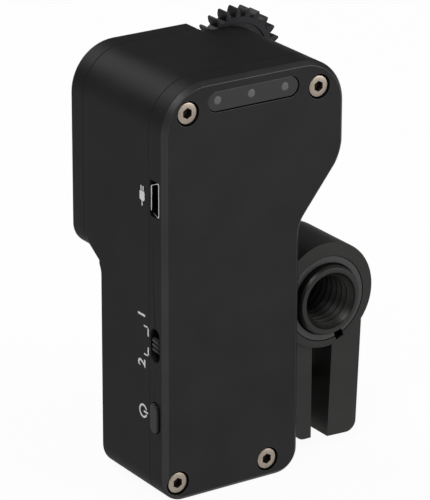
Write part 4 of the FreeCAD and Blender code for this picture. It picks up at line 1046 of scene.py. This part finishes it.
def screw_group(name, node, places, seat, shank_length, sign):
    """The cap screws of a cover, one modelled and the others copied."""
    sizes = settings("screw_sizes")
    x, z = places[0]
    first = cap_screw(f"{name}_1", Vector((x, seat, z)), sizes.head_radius, sizes.head_length,
                      sizes.shank_radius, shank_length, sizes.socket, "Y", sign)
    smooth(first)
    group = [first] + [copied(first, f"{name}_{index}", (there_x - x, 0, there_z - z))
                       for index, (there_x, there_z) in enumerate(places[1:], start=2)]
    for screw in group:
        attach(screw, "housing")
    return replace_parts(first, node)


def model_cover_screws():
    """Four bright cap screws in the front cover."""
    sizes = settings("screw_sizes")
    return screw_group("front_screw", "front_cover_screws", cover_places(),
                       FRONT + sizes.recess, sizes.front_shank, 1)


def model_rear_screws():
    """Three bright cap screws in the rear cover."""
    sizes = settings("screw_sizes")
    return screw_group("rear_screw", "back_cover_screws", rear_places(), BACK - sizes.recess,
                       sizes.rear_shank, -1)


# Indicator, port, slider, button and marks

def model_indicator():
    """The smoked window with its rim, and the three lamps in it."""
    sizes = settings("control_sizes")
    walls = settings("housing_sizes")
    half = sizes.window_height / 2
    gap = sizes.window_gap
    front = FRONT + sizes.window_sink
    window = paint(pill("smoked_window",
                        (sizes.window_left + gap, front, sizes.window_rise - half + gap),
                        (sizes.window_right - gap, FRONT + walls.front_wall + 0.4 * MM,
                         sizes.window_rise + half - gap), "Y", 16), finish_of("window"))
    with editing(window):
        pick(window, "EDGE", lambda edge: on_plane(edge, 1, front))
        bevel(0.12 * MM, 3)
    done(window, nodes=["indicator_window"])
    centre = (sizes.window_left + sizes.window_right) / 2
    radius, dome = sizes.lamp_radius, sizes.lamp_dome
    first = paint(lathe("lamp_1", [
        (0.0, front - dome), (radius * 0.5, front - dome * 0.84),
        (radius * 0.9, front - dome * 0.4), (radius, front + dome * 0.2),
        (radius, front + sizes.lamp_depth),
        (0.0, front + sizes.lamp_depth)],
        (centre - sizes.lamp_shift - sizes.lamp_pitch, 0, sizes.window_rise + sizes.lamp_lift),
        "Y", 32), finish_of("lamp"))
    smooth(first)
    lamps = [first] + [copied(first, f"lamp_{index + 1}", (sizes.lamp_pitch * index, 0, 0))
                       for index in (1, 2)]
    for lamp in lamps:
        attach(lamp, "housing")
    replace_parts(first, "indicator_lamps")


def model_port():
    """The port's tapered metal shell, and its tongue with five contacts."""
    controls = settings("control_sizes")
    depth = corner("usb_socket_shell", 1).x
    y = FRONT + controls.slot_depth
    half = controls.slot_width / 2 - controls.port_play
    tall = controls.port_length / 2 - controls.port_play
    rise = controls.port_rise
    wall = controls.port_wall
    mouth = LEFT + controls.port_sink
    shell = rounded_block("port_shell", (mouth, y - half, rise - tall),
                          (depth, y + half, rise + tall), "X", 0.5 * MM, 5)
    room = rounded_block("port_room", (mouth - MM, y - half + wall, rise - tall + wall),
                         (depth - wall, y + half - wall, rise + tall - wall), "X", 0.3 * MM, 5)
    for piece, lean in ((shell, 1.0), (room, 0.9)):
        with editing(piece):
            pick(piece, "VERT", lambda point: point.co.y > y)
            bpy.ops.transform.resize(value=(1, 1, 1 - lean * controls.port_taper / tall),
                                     center_override=(0, y, rise))
    carve(shell, room)
    with editing(shell):
        pick(shell, "EDGE", lambda edge: on_plane(edge, 0, mouth))
        bevel(wall / 4, 2)
    done(paint(shell, finish_of("port")), nodes=["usb_socket_shell"])
    low, high = corner("usb_contact_tongue", 0), corner("usb_contact_tongue", 1)
    tongue = block("port_tongue", low, high)
    with editing(tongue):
        pick(tongue, "EDGE", lambda edge: on_plane(edge, 0, low.x))
        bevel(0.12 * MM, 2)
    # The tongue is painted pale as painted light, for the lit inside of the port.
    done(paint(tongue, finish_of("tongue_painted_light")), nodes=["usb_contact_tongue"])
    pitch, width = controls.contact_pitch, controls.contact_width
    first = rounded_block("port_contact_1",
                          (low.x + 0.3 * MM, low.y - 0.06 * MM, rise - pitch * 2 - width / 2),
                          (high.x - 0.2 * MM, low.y + 0.05 * MM, rise - pitch * 2 + width / 2),
                          "Y", 0.08 * MM, 2)
    paint(first, finish_of("contact"))
    for contact in [first] + [copied(first, f"port_contact_{index + 1}", (0, 0, index * pitch))
                              for index in range(1, 5)]:
        done(contact)


def model_slider():
    """The slider's knob with its three grip ribs and softened edges."""
    sizes = settings("control_sizes")
    y = FRONT + sizes.slot_depth
    half = sizes.slider_width / 2
    tall = sizes.slider_knob / 2
    rise, pitch = sizes.slider_rise, sizes.rib_pitch
    face = corner("mode_slider", 0).x + sizes.rib_height
    knob = block("slider_knob", (face, y - half, rise - tall),
                 (corner("mode_slider", 1).x, y + half, rise + tall))
    with editing(knob):
        for step in range(-5, 6, 2):
            bpy.ops.mesh.select_all(action="SELECT")
            bpy.ops.mesh.bisect(plane_co=(0, 0, rise + step * pitch / 4), plane_no=(0, 0, 1))
        pick(knob, "FACE", lambda part: part.normal.x < -0.99 and any(
            abs(part.calc_center_median().z - rise - step * pitch) < pitch / 10
            for step in (-1, 0, 1)))
        bpy.ops.mesh.extrude_region_move(
            TRANSFORM_OT_translate={"value": (-sizes.rib_height, 0, 0)})
    soft_edges(paint(knob, finish_of("plastic")), 0.08 * MM)
    return done(knob, "slider", ["mode_slider"])


def model_button():
    """The long power button with its rounded rim."""
    sizes = settings("control_sizes")
    y = FRONT + sizes.slot_depth
    face = corner("power_button", 0).x
    half = sizes.slot_width / 2 - 0.2 * MM
    tall = sizes.button_length / 2 - 0.05 * MM
    key = paint(pill("power_key", (face, y - half, sizes.button_rise - tall),
                     (corner("power_button", 1).x, y + half, sizes.button_rise + tall), "X", 14),
                finish_of("plastic"))
    with editing(key):
        pick(key, "EDGE", lambda edge: on_plane(edge, 0, face))
        bevel(sizes.button_round, 4)
    return done(key, "button", ["power_button"])


def flat_mark(name, depth, rise, wide, tall, radius=None):
    """A thin printed bar on the left side, given by its middle and its size."""
    sizes = settings("control_sizes")
    half = Vector((sizes.mark_thickness, wide / 2, tall / 2))
    place = Vector((LEFT, FRONT + depth, rise))
    return rounded_block(name, place - half, place + half, "X", radius or sizes.mark_corner, 3)


def numeral(name, text, height, depth, rise):
    """A plain printed numeral on the left side."""
    sizes = settings("control_sizes")
    bpy.ops.object.select_all(action="DESELECT")
    bpy.ops.object.text_add()
    words = bpy.context.object
    words.data.body = text
    words.data.size = height / 0.7
    words.data.align_x = "CENTER"
    words.data.align_y = "CENTER"
    words.data.extrude = sizes.mark_thickness
    words.data.resolution_u = 6
    words.data.offset = 0.02 * height
    alone(words)
    bpy.ops.object.convert(target="MESH")
    words = bpy.context.object
    words.data.transform(Matrix.Rotation(math.radians(90), 4, "X"))
    words.data.transform(Matrix.Rotation(math.radians(-90), 4, "Z"))
    words.data.transform(Matrix.Rotation(math.radians(-90), 4, "X"))
    words.data.transform(Matrix.Translation((LEFT, FRONT + depth, rise)))
    words.name = name
    words.data.name = name
    with editing(words):
        bpy.ops.mesh.select_all(action="SELECT")
        bpy.ops.mesh.remove_doubles(threshold=WELD)
        bpy.ops.mesh.normals_make_consistent(inside=False)
    return words


def open_ring(name, depth, rise, radius, width):
    """A printed ring on the left side, open towards the front."""
    thin = settings("control_sizes").mark_thickness
    y = FRONT + depth
    ring = lathe(name, [(radius - width / 2, LEFT - thin), (radius + width / 2, LEFT - thin),
                        (radius + width / 2, LEFT + thin), (radius - width / 2, LEFT + thin),
                        (radius - width / 2, LEFT - thin)], (0, y, rise), "X", 48)
    return carve(ring, block("gap", (LEFT - MM, y - radius * 1.5, rise - width * 1.3),
                             (LEFT + MM, y - radius * 0.4, rise + width * 1.3)))


def model_marks():
    """Generic printed marks by the port, the slider and the button."""
    sizes = settings("control_sizes")
    depth = sizes.mark_depth
    port, slider, power = sizes.port_rise, sizes.slider_rise, sizes.button_rise
    marks = []
    for name, text, side in (("one", "1", 1), ("two", "2", -1)):
        marks += [
            numeral(name, text, sizes.numeral_height, depth + 0.3 * MM,
                    slider + side * sizes.numeral_shift),
            flat_mark(f"{name}_line", depth - 2.0 * MM, slider + side * 2.2 * MM, 0.4 * MM, 2 * MM),
            flat_mark(f"{name}_foot", depth - 1.3 * MM, slider + side * 3.05 * MM, 1.8 * MM,
                      0.3 * MM)]
    marks += [
        open_ring("power_ring", depth, power, 1.3 * MM, 0.4 * MM),
        flat_mark("power_bar", depth - MM, power, 1.6 * MM, 0.4 * MM),
        flat_mark("plug_body", depth, port - 0.5 * MM, 1.8 * MM, 2 * MM, 0.4 * MM),
        flat_mark("plug_pin_1", depth - 0.375 * MM, port + 1.1 * MM, 0.35 * MM, MM),
        flat_mark("plug_pin_2", depth + 0.375 * MM, port + 1.1 * MM, 0.35 * MM, MM),
        flat_mark("plug_wire", depth, port - 2.05 * MM, 0.32 * MM, 1.1 * MM)]
    for mark in marks:
        paint(mark, finish_of("mark"))
    return done(joined("side_marks", *marks))


# Focus gear and pinion

def half_tooth(module, teeth, slack, radius):
    """Half the angle of a tooth at a radius, for an involute of twenty degrees."""
    pitch = module * teeth / 2
    base = pitch * math.cos(math.radians(20))
    spread = math.tan(math.radians(20)) - math.radians(20)
    middle_angle = math.pi / (2 * teeth) - slack / (2 * pitch) + spread
    if radius <= base:
        return middle_angle
    roll = math.acos(base / radius)
    return middle_angle - (math.tan(roll) - roll)


def toothed_wheel(name, centre, module, teeth, slack, phase, start, end):
    """A spur gear: a bar with four sides a tooth, two of them drawn out in three steps."""
    root = module * (teeth / 2 - 1.25)
    side = 2 * math.pi / teeth
    wheel = bar(name, root, (centre.x, start, centre.z), (centre.x, end, centre.z), "Y", teeth * 4)
    base = wheel.data.vertices[0].co - Vector((centre.x, 0, centre.z))
    now = math.atan2(base.z, base.x)

    def bearing(point):
        """Angle of a point from the nearest tooth's middle."""
        angle = math.atan2(point.z - centre.z, point.x - centre.x) - phase
        return (angle + side / 2) % side - side / 2

    def spread_to(radius, angle, before):
        """Move the drawn out points to a radius and each tooth's sides to an angle."""
        bpy.ops.transform.resize(value=(radius / before[0], 1, radius / before[0]),
                                 center_override=centre)
        for sign in (-1, 1):
            pick(wheel, "VERT", lambda point: abs(away(point.co, centre, 1) - radius) < CLOSE * 4
                 and abs(bearing(point.co) - sign * before[1]) < side / 16)
            bpy.ops.transform.rotate(value=sign * (angle - before[1]), orient_axis="Y",
                                     orient_type="GLOBAL", center_override=centre)

    with editing(wheel):
        bpy.ops.mesh.select_all(action="SELECT")
        bpy.ops.transform.rotate(value=phase - now, orient_axis="Y", orient_type="GLOBAL",
                                 center_override=centre)
        radii = [root + (module * 2.25) * share for share in (0.0, 0.4, 0.72, 1.0)]
        angles = [half_tooth(module, teeth, slack, radius) for radius in radii]
        before = (root, side / 4)
        for radius, angle in zip(radii, angles):
            pick(wheel, "FACE", lambda face: abs(face.normal.y) < 0.5
                 and abs(bearing(face.calc_center_median())) < side / 4
                 and away(face.calc_center_median(), centre, 1) > before[0] * 0.98)
            if radius > root:
                bpy.ops.mesh.extrude_region_move(TRANSFORM_OT_translate={"value": (0, 0, 0)})
            spread_to(radius, angle, before)
            before = (radius, angle)
    return wheel


def mesh_phase():
    """Phase of the pinion's teeth that puts a gap where the gear's tooth comes."""
    sizes = settings("gear_sizes")
    line = math.atan2(PINION.z - GEAR.z, PINION.x - GEAR.x)
    share = ((line - math.pi / 2) * sizes.teeth / (2 * math.pi)) % 1
    return line + math.pi - (0.5 - share) * 2 * math.pi / sizes.pinion_teeth


def bored_wheel(name, at, teeth, phase, bore, sides):
    """One of the two gears, with a bore for what it turns on."""
    sizes = settings("gear_sizes")
    wheel = toothed_wheel(name, Vector((at.x, 0, at.z)), sizes.module, teeth, sizes.slack, phase,
                          GEAR_FRONT, GEAR_BACK)
    return carve(wheel, bar("bore", bore + sizes.play, (at.x, GEAR_FRONT - MM, at.z),
                            (at.x, GEAR_BACK + MM, at.z), sides=sides))


def model_focus_gear():
    """The focus gear with a turned dish on both faces, its washer and screw, and the pinion."""
    sizes = settings("gear_sizes")
    screws = settings("screw_sizes")
    gear = bored_wheel("focus_wheel", GEAR, sizes.teeth, math.pi / 2, sizes.bush_radius, 48)
    inner, outer = sizes.dish_inner, sizes.dish_outer
    for start, end in ((GEAR_FRONT - MM, GEAR_FRONT + sizes.dish_depth),
                       (GEAR_BACK - sizes.dish_depth, GEAR_BACK + MM)):
        carve(gear, lathe("dish", [(inner, start), (outer, start), (outer, end), (inner, end),
                                   (inner, start)], GEAR, "Y", 64))
    soft_edges(paint(gear, finish_of("gear")), sizes.gear_edge, 40)
    done(gear, "focus_gear", ["focus_gear"])
    pinion = bored_wheel("driving_pinion", PINION, sizes.pinion_teeth, mesh_phase(),
                         sizes.shaft_radius, 32)
    soft_edges(paint(pinion, finish_of("gear")), sizes.pinion_edge, 40)
    done(pinion, "pinion", ["drive_pinion"])
    low = corner("gear_washer", 0).y
    high = low + sizes.washer_thickness
    edge = 0.1 * MM
    hole, outer = sizes.washer_hole, sizes.washer_radius
    washer = lathe("gear_disc", [(hole, low), (outer - edge, low), (outer, low + edge),
                                 (outer, high - edge), (outer - edge, high), (hole, high),
                                 (hole, low)], GEAR, "Y", 48)
    done(paint(washer, finish_of("steel")), nodes=["gear_washer"])
    screw = cap_screw("gear_bolt", Vector((GEAR.x, high, GEAR.z)), screws.head_radius,
                      screws.head_length / 2, screws.shank_radius, sizes.bolt_length,
                      screws.socket, "Y", -1)
    done(screw, nodes=["gear_screw"])


# Rod clamp

def model_clamp():
    """The split clamp ring with its foot on the housing and its two hanging legs."""
    sizes = settings("clamp_sizes")
    wall = LEFT + settings("housing_sizes").low_width
    ring = lathe("clamp_casting", [
        (sizes.bore_radius, CLAMP_FRONT), (sizes.ring_radius, CLAMP_FRONT),
        (sizes.ring_radius, CLAMP_BACK), (sizes.bore_radius, CLAMP_BACK),
        (sizes.bore_radius, CLAMP_FRONT)], ROD + Vector((0, 0, sizes.ring_lift)), "Y", 96)
    slit = ROD.x + sizes.slit_offset
    near = slit - sizes.leg_gap / 2
    far = slit + sizes.leg_gap / 2
    leg_top = ROD.z - sizes.ring_low * 0.45
    foot = block("foot", (wall, CLAMP_FRONT + sizes.foot_setback, ROD.z - sizes.foot_height / 2),
                 (ROD.x, CLAMP_BACK, ROD.z + sizes.foot_height / 2))
    left = block("left_leg",
                 (near - sizes.left_leg, CLAMP_FRONT + sizes.leg_setback, sizes.leg_low),
                 (near, CLAMP_BACK, leg_top))
    right = block("right_leg", (far, CLAMP_FRONT, sizes.leg_low),
                  (far + sizes.right_leg, CLAMP_BACK, leg_top))
    for leg, outside in ((left, near - sizes.left_leg), (right, far + sizes.right_leg)):
        with editing(leg):
            pick(leg, "EDGE", lambda edge: along(edge, "Y") and on_plane(edge, 2, sizes.leg_low)
                 and on_plane(edge, 0, outside))
            bevel(sizes.leg_round, 8)
    with editing(right):
        bpy.ops.mesh.select_all(action="SELECT")
        bpy.ops.transform.rotate(value=-sizes.leg_lean, orient_axis="Y", orient_type="GLOBAL",
                                 center_override=(slit, 0, ROD.z - sizes.ring_low))
    casting = carve(ring, foot, left, right, operation="UNION")
    carve(casting,
          bar("bore", sizes.liner_radius + sizes.ring_play, (ROD.x, CLAMP_FRONT - MM, ROD.z),
              (ROD.x, CLAMP_BACK + MM, ROD.z), sides=96),
          block("slit", (near, CLAMP_FRONT + sizes.lip, ROD.z - sizes.ring_low - 2 * MM),
                (far, CLAMP_BACK + MM, ROD.z - sizes.rod_radius)),
          block("wall", (wall - sizes.ring_radius, CLAMP_FRONT - MM, 0),
                (wall, CLAMP_BACK + MM, TOP)),
          split_tool("notch", sizes.liner_radius + sizes.notch_reach, CLAMP_FRONT - MM,
                     CLAMP_FRONT + sizes.lip))
    seat = far + sizes.right_leg / 2
    screw_y = CLAMP_FRONT + sizes.screw_depth
    carve(casting,
          bar("screw_hole", sizes.screw_shank + sizes.screw_play,
              (near - sizes.left_leg - MM, screw_y, sizes.screw_rise),
              (seat + MM, screw_y, sizes.screw_rise), "X", 32),
          bar("screw_well", sizes.screw_head + sizes.well_play, (seat, screw_y, sizes.screw_rise),
              (seat + sizes.right_leg, screw_y, sizes.screw_rise), "X", 48))
    soft_edges(paint(casting, finish_of("clamp")), sizes.edge, 38, 3)
    return done(casting, nodes=["clamp_body"])


def split_tool(name, reach, start, end):
    """A narrow bar from the rod's axis outwards, where the liner is split."""
    sizes = settings("clamp_sizes")
    half = sizes.split_width / 2
    tool = block(name, (ROD.x, start, ROD.z - half), (ROD.x + reach, end, ROD.z + half))
    with editing(tool):
        bpy.ops.mesh.select_all(action="SELECT")
        bpy.ops.transform.rotate(value=sizes.split_bearing, orient_axis="Y", orient_type="GLOBAL",
                                 center_override=(ROD.x, 0, ROD.z))
    return tool


def model_liner():
    """The split liner between the clamp ring and the rod, with both its ends broken."""
    sizes = settings("clamp_sizes")
    edge = sizes.liner_edge
    inner = sizes.rod_radius + sizes.liner_play
    outer = sizes.liner_radius
    front, back = CLAMP_FRONT, CLAMP_BACK
    liner = lathe("split_liner", [
        (inner + edge, front), (outer - edge * 0.6, front), (outer, front + edge * 0.6),
        (outer, back - edge * 0.6), (outer - edge * 0.6, back), (inner + edge, back),
        (inner, back - edge), (inner, front + edge), (inner + edge, front)], ROD, "Y", 96)
    carve(liner, split_tool("split", outer + MM, front - MM, back + MM))
    return done(paint(liner, finish_of("liner")), nodes=["clamp_liner"], angle=25)


def model_rod():
    """The rod with broken ends and a bore whose thread is cut ridge by ridge."""
    sizes = settings("clamp_sizes")
    radius, edge = sizes.rod_radius, sizes.rod_edge
    front, back = ROD_FRONT, ROD_BACK
    core = sizes.bore_radius
    root = core + sizes.thread_depth
    pitch = sizes.thread_pitch
    start, end = front + sizes.thread_start, front + sizes.bore_length
    profile = [(0.0, back), (radius - edge, back), (radius, back - edge), (radius, front + edge),
               (radius - edge * 0.7, front + edge / 10), (radius - edge, front),
               (root + sizes.mouth_flare, front), (root, start)]
    for turn in range(math.ceil((end - start) / pitch - 1.4)):
        place = start + turn * pitch
        profile += [(core, place + pitch * 0.42), (core, place + pitch * 0.56),
                    (root, place + pitch * 0.95), (root, place + pitch)]
    profile += [(core, end - MM), (core, end), (0.0, end)]
    rod = paint(lathe("round_rod", profile, ROD, "Y", 96), finish_of("rod"), finish_of("bore"))
    # The bore's faces take the second finish, a painted shade.
    with editing(rod):
        pick(rod, "FACE", lambda face: away(face.calc_center_median(), ROD, 1) < root
             and start - 0.1 * MM < face.calc_center_median().y < back - MM)
        rod.active_material_index = 1
        bpy.ops.object.material_slot_assign()
    return done(rod, "rod", ["support_rod"], 25)


def model_clamp_screw():
    """The cap screw that closes the clamp."""
    sizes = settings("clamp_sizes")
    seat = ROD.x + sizes.slit_offset + (sizes.leg_gap + sizes.right_leg) / 2
    screw = cap_screw("closing_screw",
                      Vector((seat, CLAMP_FRONT + sizes.screw_depth, sizes.screw_rise)),
                      sizes.screw_head, sizes.screw_height, sizes.screw_shank,
                      seat - corner("clamp_screw", 0).x, settings("screw_sizes").socket, "X", -1)
    return done(screw, "clamp_screw", ["clamp_screw"])


# What the frame shows by itself

INNER = {
    "steel": ("gear_axle", "pinion_shaft", "front_shaft_bearing", "rear_shaft_bearing",
              "idler_pin", "board_screws", "gearbox_screws", "motor_screws", "clamp_bolts"),
    "gear_plastic": ("shaft_wheel", "idler_gear"),
    "brass": ("gear_bush", "motor_pinion"),
    "board": ("main_board", "lamp_board"),
    "black_plastic": ("mode_switch_body", "button_switch", "motor_end_cap"),
    "can": ("motor_can", "gearbox_plate"),
    "magnet": ("motor_magnet",),
    "dark_steel": ("motor_rotor",),
}


def dress_inner_parts():
    """Give the frame's own inner parts their finishes."""
    for kind, names in INNER.items():
        for name in names:
            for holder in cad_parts[name].material_slots:
                holder.material = finish_of(kind)


# Stage

FLOOR_REACH = 1.5
FLOOR_TOP = -0.02 * MM
GLOW_SHARE = 0.94
WORLD_LIGHT = 0.35
LAMP_AIM = (0, 0, 0.05)
# Each lamp's name, place, size and power
LAMPS = (
    ("key_lamp", (-0.48, -0.45, 0.90), 0.5, 4.2),
    ("fill_lamp", (0.60, -0.70, 0.40), 0.6, 6.0),
    ("back_lamp", (-0.2, 0.8, 0.7), 0.6, 4.0),
)


def plain_white(name, colour):
    """A pale surface that the camera, and glossy and clear things, see as nearly plain white."""
    finish = Finish(name, 0.0, Roughness=0.9, Specular_IOR_Level=0.1)
    grain = finish.noise(0.004, 2.0)
    finish.feed(Base_Color=finish.blend(grain, shade(colour, 0.99), shade(colour, 1.01)))
    camera, glossy, clear = (
        finish.node("ShaderNodeLightPath", output=f"Is {kind} Ray")
        for kind in ("Camera", "Glossy", "Transmission"))
    glow = finish.node("ShaderNodeEmission", inputs={"Color": (1, 1, 1, 1), "Strength": 1.0})
    mixed = finish.node("ShaderNodeMixShader", inputs={
        0: camera.maximum(glossy).maximum(clear) * GLOW_SHARE,
        1: Value(finish, finish.shader.outputs[0]), 2: glow})
    finish.join(mixed, finish.tree.nodes["Material Output"].inputs["Surface"])
    return finish.material


def lamp_light(name, place, size, power):
    """A square soft lamp that looks at the unit."""
    bpy.ops.object.select_all(action="DESELECT")
    bpy.ops.object.light_add(type="AREA", location=place)
    light = bpy.context.object
    light.name = name
    light.data.shape = "SQUARE"
    light.data.size = size
    light.data.energy = power
    way = Vector(LAMP_AIM) - Vector(place)
    light.rotation_euler = way.to_track_quat("-Z", "Y").to_euler()


def set_world():
    """A pale even world, white where the camera sees it."""
    world = bpy.data.worlds.new("pale_world")
    world.use_nodes = True
    bpy.context.scene.world = world
    nodes = Nodes(world.node_tree)
    backing = nodes.tree.nodes["Background"]
    backing.inputs["Color"].default_value = (1, 1, 1, 1)
    seen = nodes.node("ShaderNodeLightPath", output="Is Camera Ray")
    nodes.join(seen * (1 - WORLD_LIGHT) + WORLD_LIGHT, backing.inputs["Strength"])


def set_camera():
    """The camera at the photograph's place."""
    view = settings("viewpoint")
    azimuth, elevation = view.azimuth, view.elevation
    level = math.cos(elevation)
    back = Vector((math.sin(azimuth) * level, -math.cos(azimuth) * level, math.sin(elevation)))
    right = Vector((0, 0, 1)).cross(back).normalized()
    up = back.cross(right)
    turn = Matrix((right, up, back)).transposed().to_4x4()
    place = Vector(view.aim) + back * view.distance
    bpy.ops.object.select_all(action="DESELECT")
    bpy.ops.object.camera_add()
    camera = bpy.context.object
    camera.name = "photo_camera"
    camera.matrix_world = (Matrix.Translation(place) @ turn
                           @ Matrix.Rotation(view.roll, 4, "Z"))
    camera.data.sensor_fit = "VERTICAL"
    camera.data.sensor_height = 36.0
    camera.data.lens = view.focal
    camera.data.clip_start = 0.01
    bpy.context.scene.camera = camera


def build_stage():
    """Floor, lamps, world and camera."""
    floor = block("floor", (-FLOOR_REACH, -FLOOR_REACH, -4 * MM),
                  (FLOOR_REACH, FLOOR_REACH, FLOOR_TOP))
    with editing(floor):
        pick(floor, "EDGE", lambda edge: on_plane(edge, 2, FLOOR_TOP))
        bevel(MM, 2)
    paint(floor, plain_white("floor_finish", settings("unit_finishes").floor))
    for lamp in LAMPS:
        lamp_light(*lamp)
    set_world()
    set_camera()
    bpy.context.scene.view_settings.view_transform = "Standard"


# Operators, panel and registration

class FOLLOW_FOCUS_OT_front_cover(Operator):
    """Model the front shell with its broken edge, wells and openings"""
    bl_idname = "follow_focus.front_cover"
    bl_label = "Front Cover"

    def execute(self, context):
        model_front_cover()
        return {"FINISHED"}


class FOLLOW_FOCUS_OT_main_housing(Operator):
    """Model the deep middle shell with its hollow ramp and gear recess"""
    bl_idname = "follow_focus.main_housing"
    bl_label = "Main Housing"

    def execute(self, context):
        model_main_housing()
        return {"FINISHED"}


class FOLLOW_FOCUS_OT_back_cover(Operator):
    """Model the shallow rear shell, open for the focus gear"""
    bl_idname = "follow_focus.back_cover"
    bl_label = "Back Cover"

    def execute(self, context):
        model_back_cover()
        return {"FINISHED"}


class FOLLOW_FOCUS_OT_cover_screws(Operator):
    """Model the four cap screws of the front cover"""
    bl_idname = "follow_focus.cover_screws"
    bl_label = "Front Screws"

    def execute(self, context):
        model_cover_screws()
        return {"FINISHED"}


class FOLLOW_FOCUS_OT_rear_screws(Operator):
    """Model the three cap screws of the rear cover"""
    bl_idname = "follow_focus.rear_screws"
    bl_label = "Rear Screws"

    def execute(self, context):
        model_rear_screws()
        return {"FINISHED"}


class FOLLOW_FOCUS_OT_indicator(Operator):
    """Model the smoked window and the three lamps in it"""
    bl_idname = "follow_focus.indicator"
    bl_label = "Indicator"

    def execute(self, context):
        model_indicator()
        return {"FINISHED"}


class FOLLOW_FOCUS_OT_port(Operator):
    """Model the port's metal shell, its tongue and its contacts"""
    bl_idname = "follow_focus.port"
    bl_label = "Port"

    def execute(self, context):
        model_port()
        return {"FINISHED"}


class FOLLOW_FOCUS_OT_slider(Operator):
    """Model the slider's knob with its grip ribs"""
    bl_idname = "follow_focus.slider"
    bl_label = "Slider"

    def execute(self, context):
        model_slider()
        return {"FINISHED"}


class FOLLOW_FOCUS_OT_button(Operator):
    """Model the long power button"""
    bl_idname = "follow_focus.button"
    bl_label = "Power Button"

    def execute(self, context):
        model_button()
        return {"FINISHED"}


class FOLLOW_FOCUS_OT_marks(Operator):
    """Model the generic marks printed on the left side"""
    bl_idname = "follow_focus.marks"
    bl_label = "Side Marks"

    def execute(self, context):
        model_marks()
        return {"FINISHED"}


class FOLLOW_FOCUS_OT_focus_gear(Operator):
    """Model the focus gear with its washer and screw, and the pinion"""
    bl_idname = "follow_focus.focus_gear"
    bl_label = "Focus Gear"

    def execute(self, context):
        model_focus_gear()
        return {"FINISHED"}


class FOLLOW_FOCUS_OT_clamp(Operator):
    """Model the split clamp with its foot and legs"""
    bl_idname = "follow_focus.clamp"
    bl_label = "Clamp"

    def execute(self, context):
        model_clamp()
        return {"FINISHED"}


class FOLLOW_FOCUS_OT_liner(Operator):
    """Model the split liner between clamp and rod"""
    bl_idname = "follow_focus.liner"
    bl_label = "Liner"

    def execute(self, context):
        model_liner()
        return {"FINISHED"}


class FOLLOW_FOCUS_OT_rod(Operator):
    """Model the rod with its threaded bore"""
    bl_idname = "follow_focus.rod"
    bl_label = "Rod"

    def execute(self, context):
        model_rod()
        return {"FINISHED"}


class FOLLOW_FOCUS_OT_clamp_screw(Operator):
    """Model the cap screw that closes the clamp"""
    bl_idname = "follow_focus.clamp_screw"
    bl_label = "Clamp Screw"

    def execute(self, context):
        model_clamp_screw()
        return {"FINISHED"}


class FOLLOW_FOCUS_OT_inner_parts(Operator):
    """Give the frame's own inner parts their finishes"""
    bl_idname = "follow_focus.inner_parts"
    bl_label = "Inner Parts"

    def execute(self, context):
        dress_inner_parts()
        return {"FINISHED"}


class FOLLOW_FOCUS_OT_stage(Operator):
    """Set the floor, lamps, world and camera"""
    bl_idname = "follow_focus.stage"
    bl_label = "Stage"

    def execute(self, context):
        build_stage()
        return {"FINISHED"}


class FOLLOW_FOCUS_PT_pieces(Panel):
    """Lists the unit's pieces."""
    bl_label = "Follow Focus"
    bl_space_type = "VIEW_3D"
    bl_region_type = "UI"
    bl_category = "Follow Focus"

    def draw(self, context):
        for piece in STEPS:
            self.layout.operator(piece.bl_idname)


STEPS = (
    FOLLOW_FOCUS_OT_front_cover,
    FOLLOW_FOCUS_OT_main_housing,
    FOLLOW_FOCUS_OT_back_cover,
    FOLLOW_FOCUS_OT_cover_screws,
    FOLLOW_FOCUS_OT_rear_screws,
    FOLLOW_FOCUS_OT_indicator,
    FOLLOW_FOCUS_OT_port,
    FOLLOW_FOCUS_OT_slider,
    FOLLOW_FOCUS_OT_button,
    FOLLOW_FOCUS_OT_marks,
    FOLLOW_FOCUS_OT_focus_gear,
    FOLLOW_FOCUS_OT_clamp,
    FOLLOW_FOCUS_OT_liner,
    FOLLOW_FOCUS_OT_rod,
    FOLLOW_FOCUS_OT_clamp_screw,
    FOLLOW_FOCUS_OT_inner_parts,
    FOLLOW_FOCUS_OT_stage,
)
GROUPS = {
    "housing_sizes": HousingSizes,
    "screw_sizes": ScrewSizes,
    "control_sizes": ControlSizes,
    "gear_sizes": GearSizes,
    "clamp_sizes": ClampSizes,
    "unit_finishes": Finishes,
    "viewpoint": Viewpoint,
}


def register():
    """Register the classes and hang their groups on the scene."""
    for name, group in GROUPS.items():
        bpy.utils.register_class(group)
        setattr(bpy.types.Scene, name, PointerProperty(type=group))
    for step in STEPS:
        bpy.utils.register_class(step)
    bpy.utils.register_class(FOLLOW_FOCUS_PT_pieces)


def unregister():
    """Take everything away again."""
    bpy.utils.unregister_class(FOLLOW_FOCUS_PT_pieces)
    for step in reversed(STEPS):
        bpy.utils.unregister_class(step)
    for name, group in reversed(GROUPS.items()):
        delattr(bpy.types.Scene, name)
        bpy.utils.unregister_class(group)


def main():
    """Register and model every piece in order."""
    register()
    for step in STEPS:
        family, name = step.bl_idname.split(".")
        getattr(getattr(bpy.ops, family), name)()


if __name__ == "__main__":
    main()
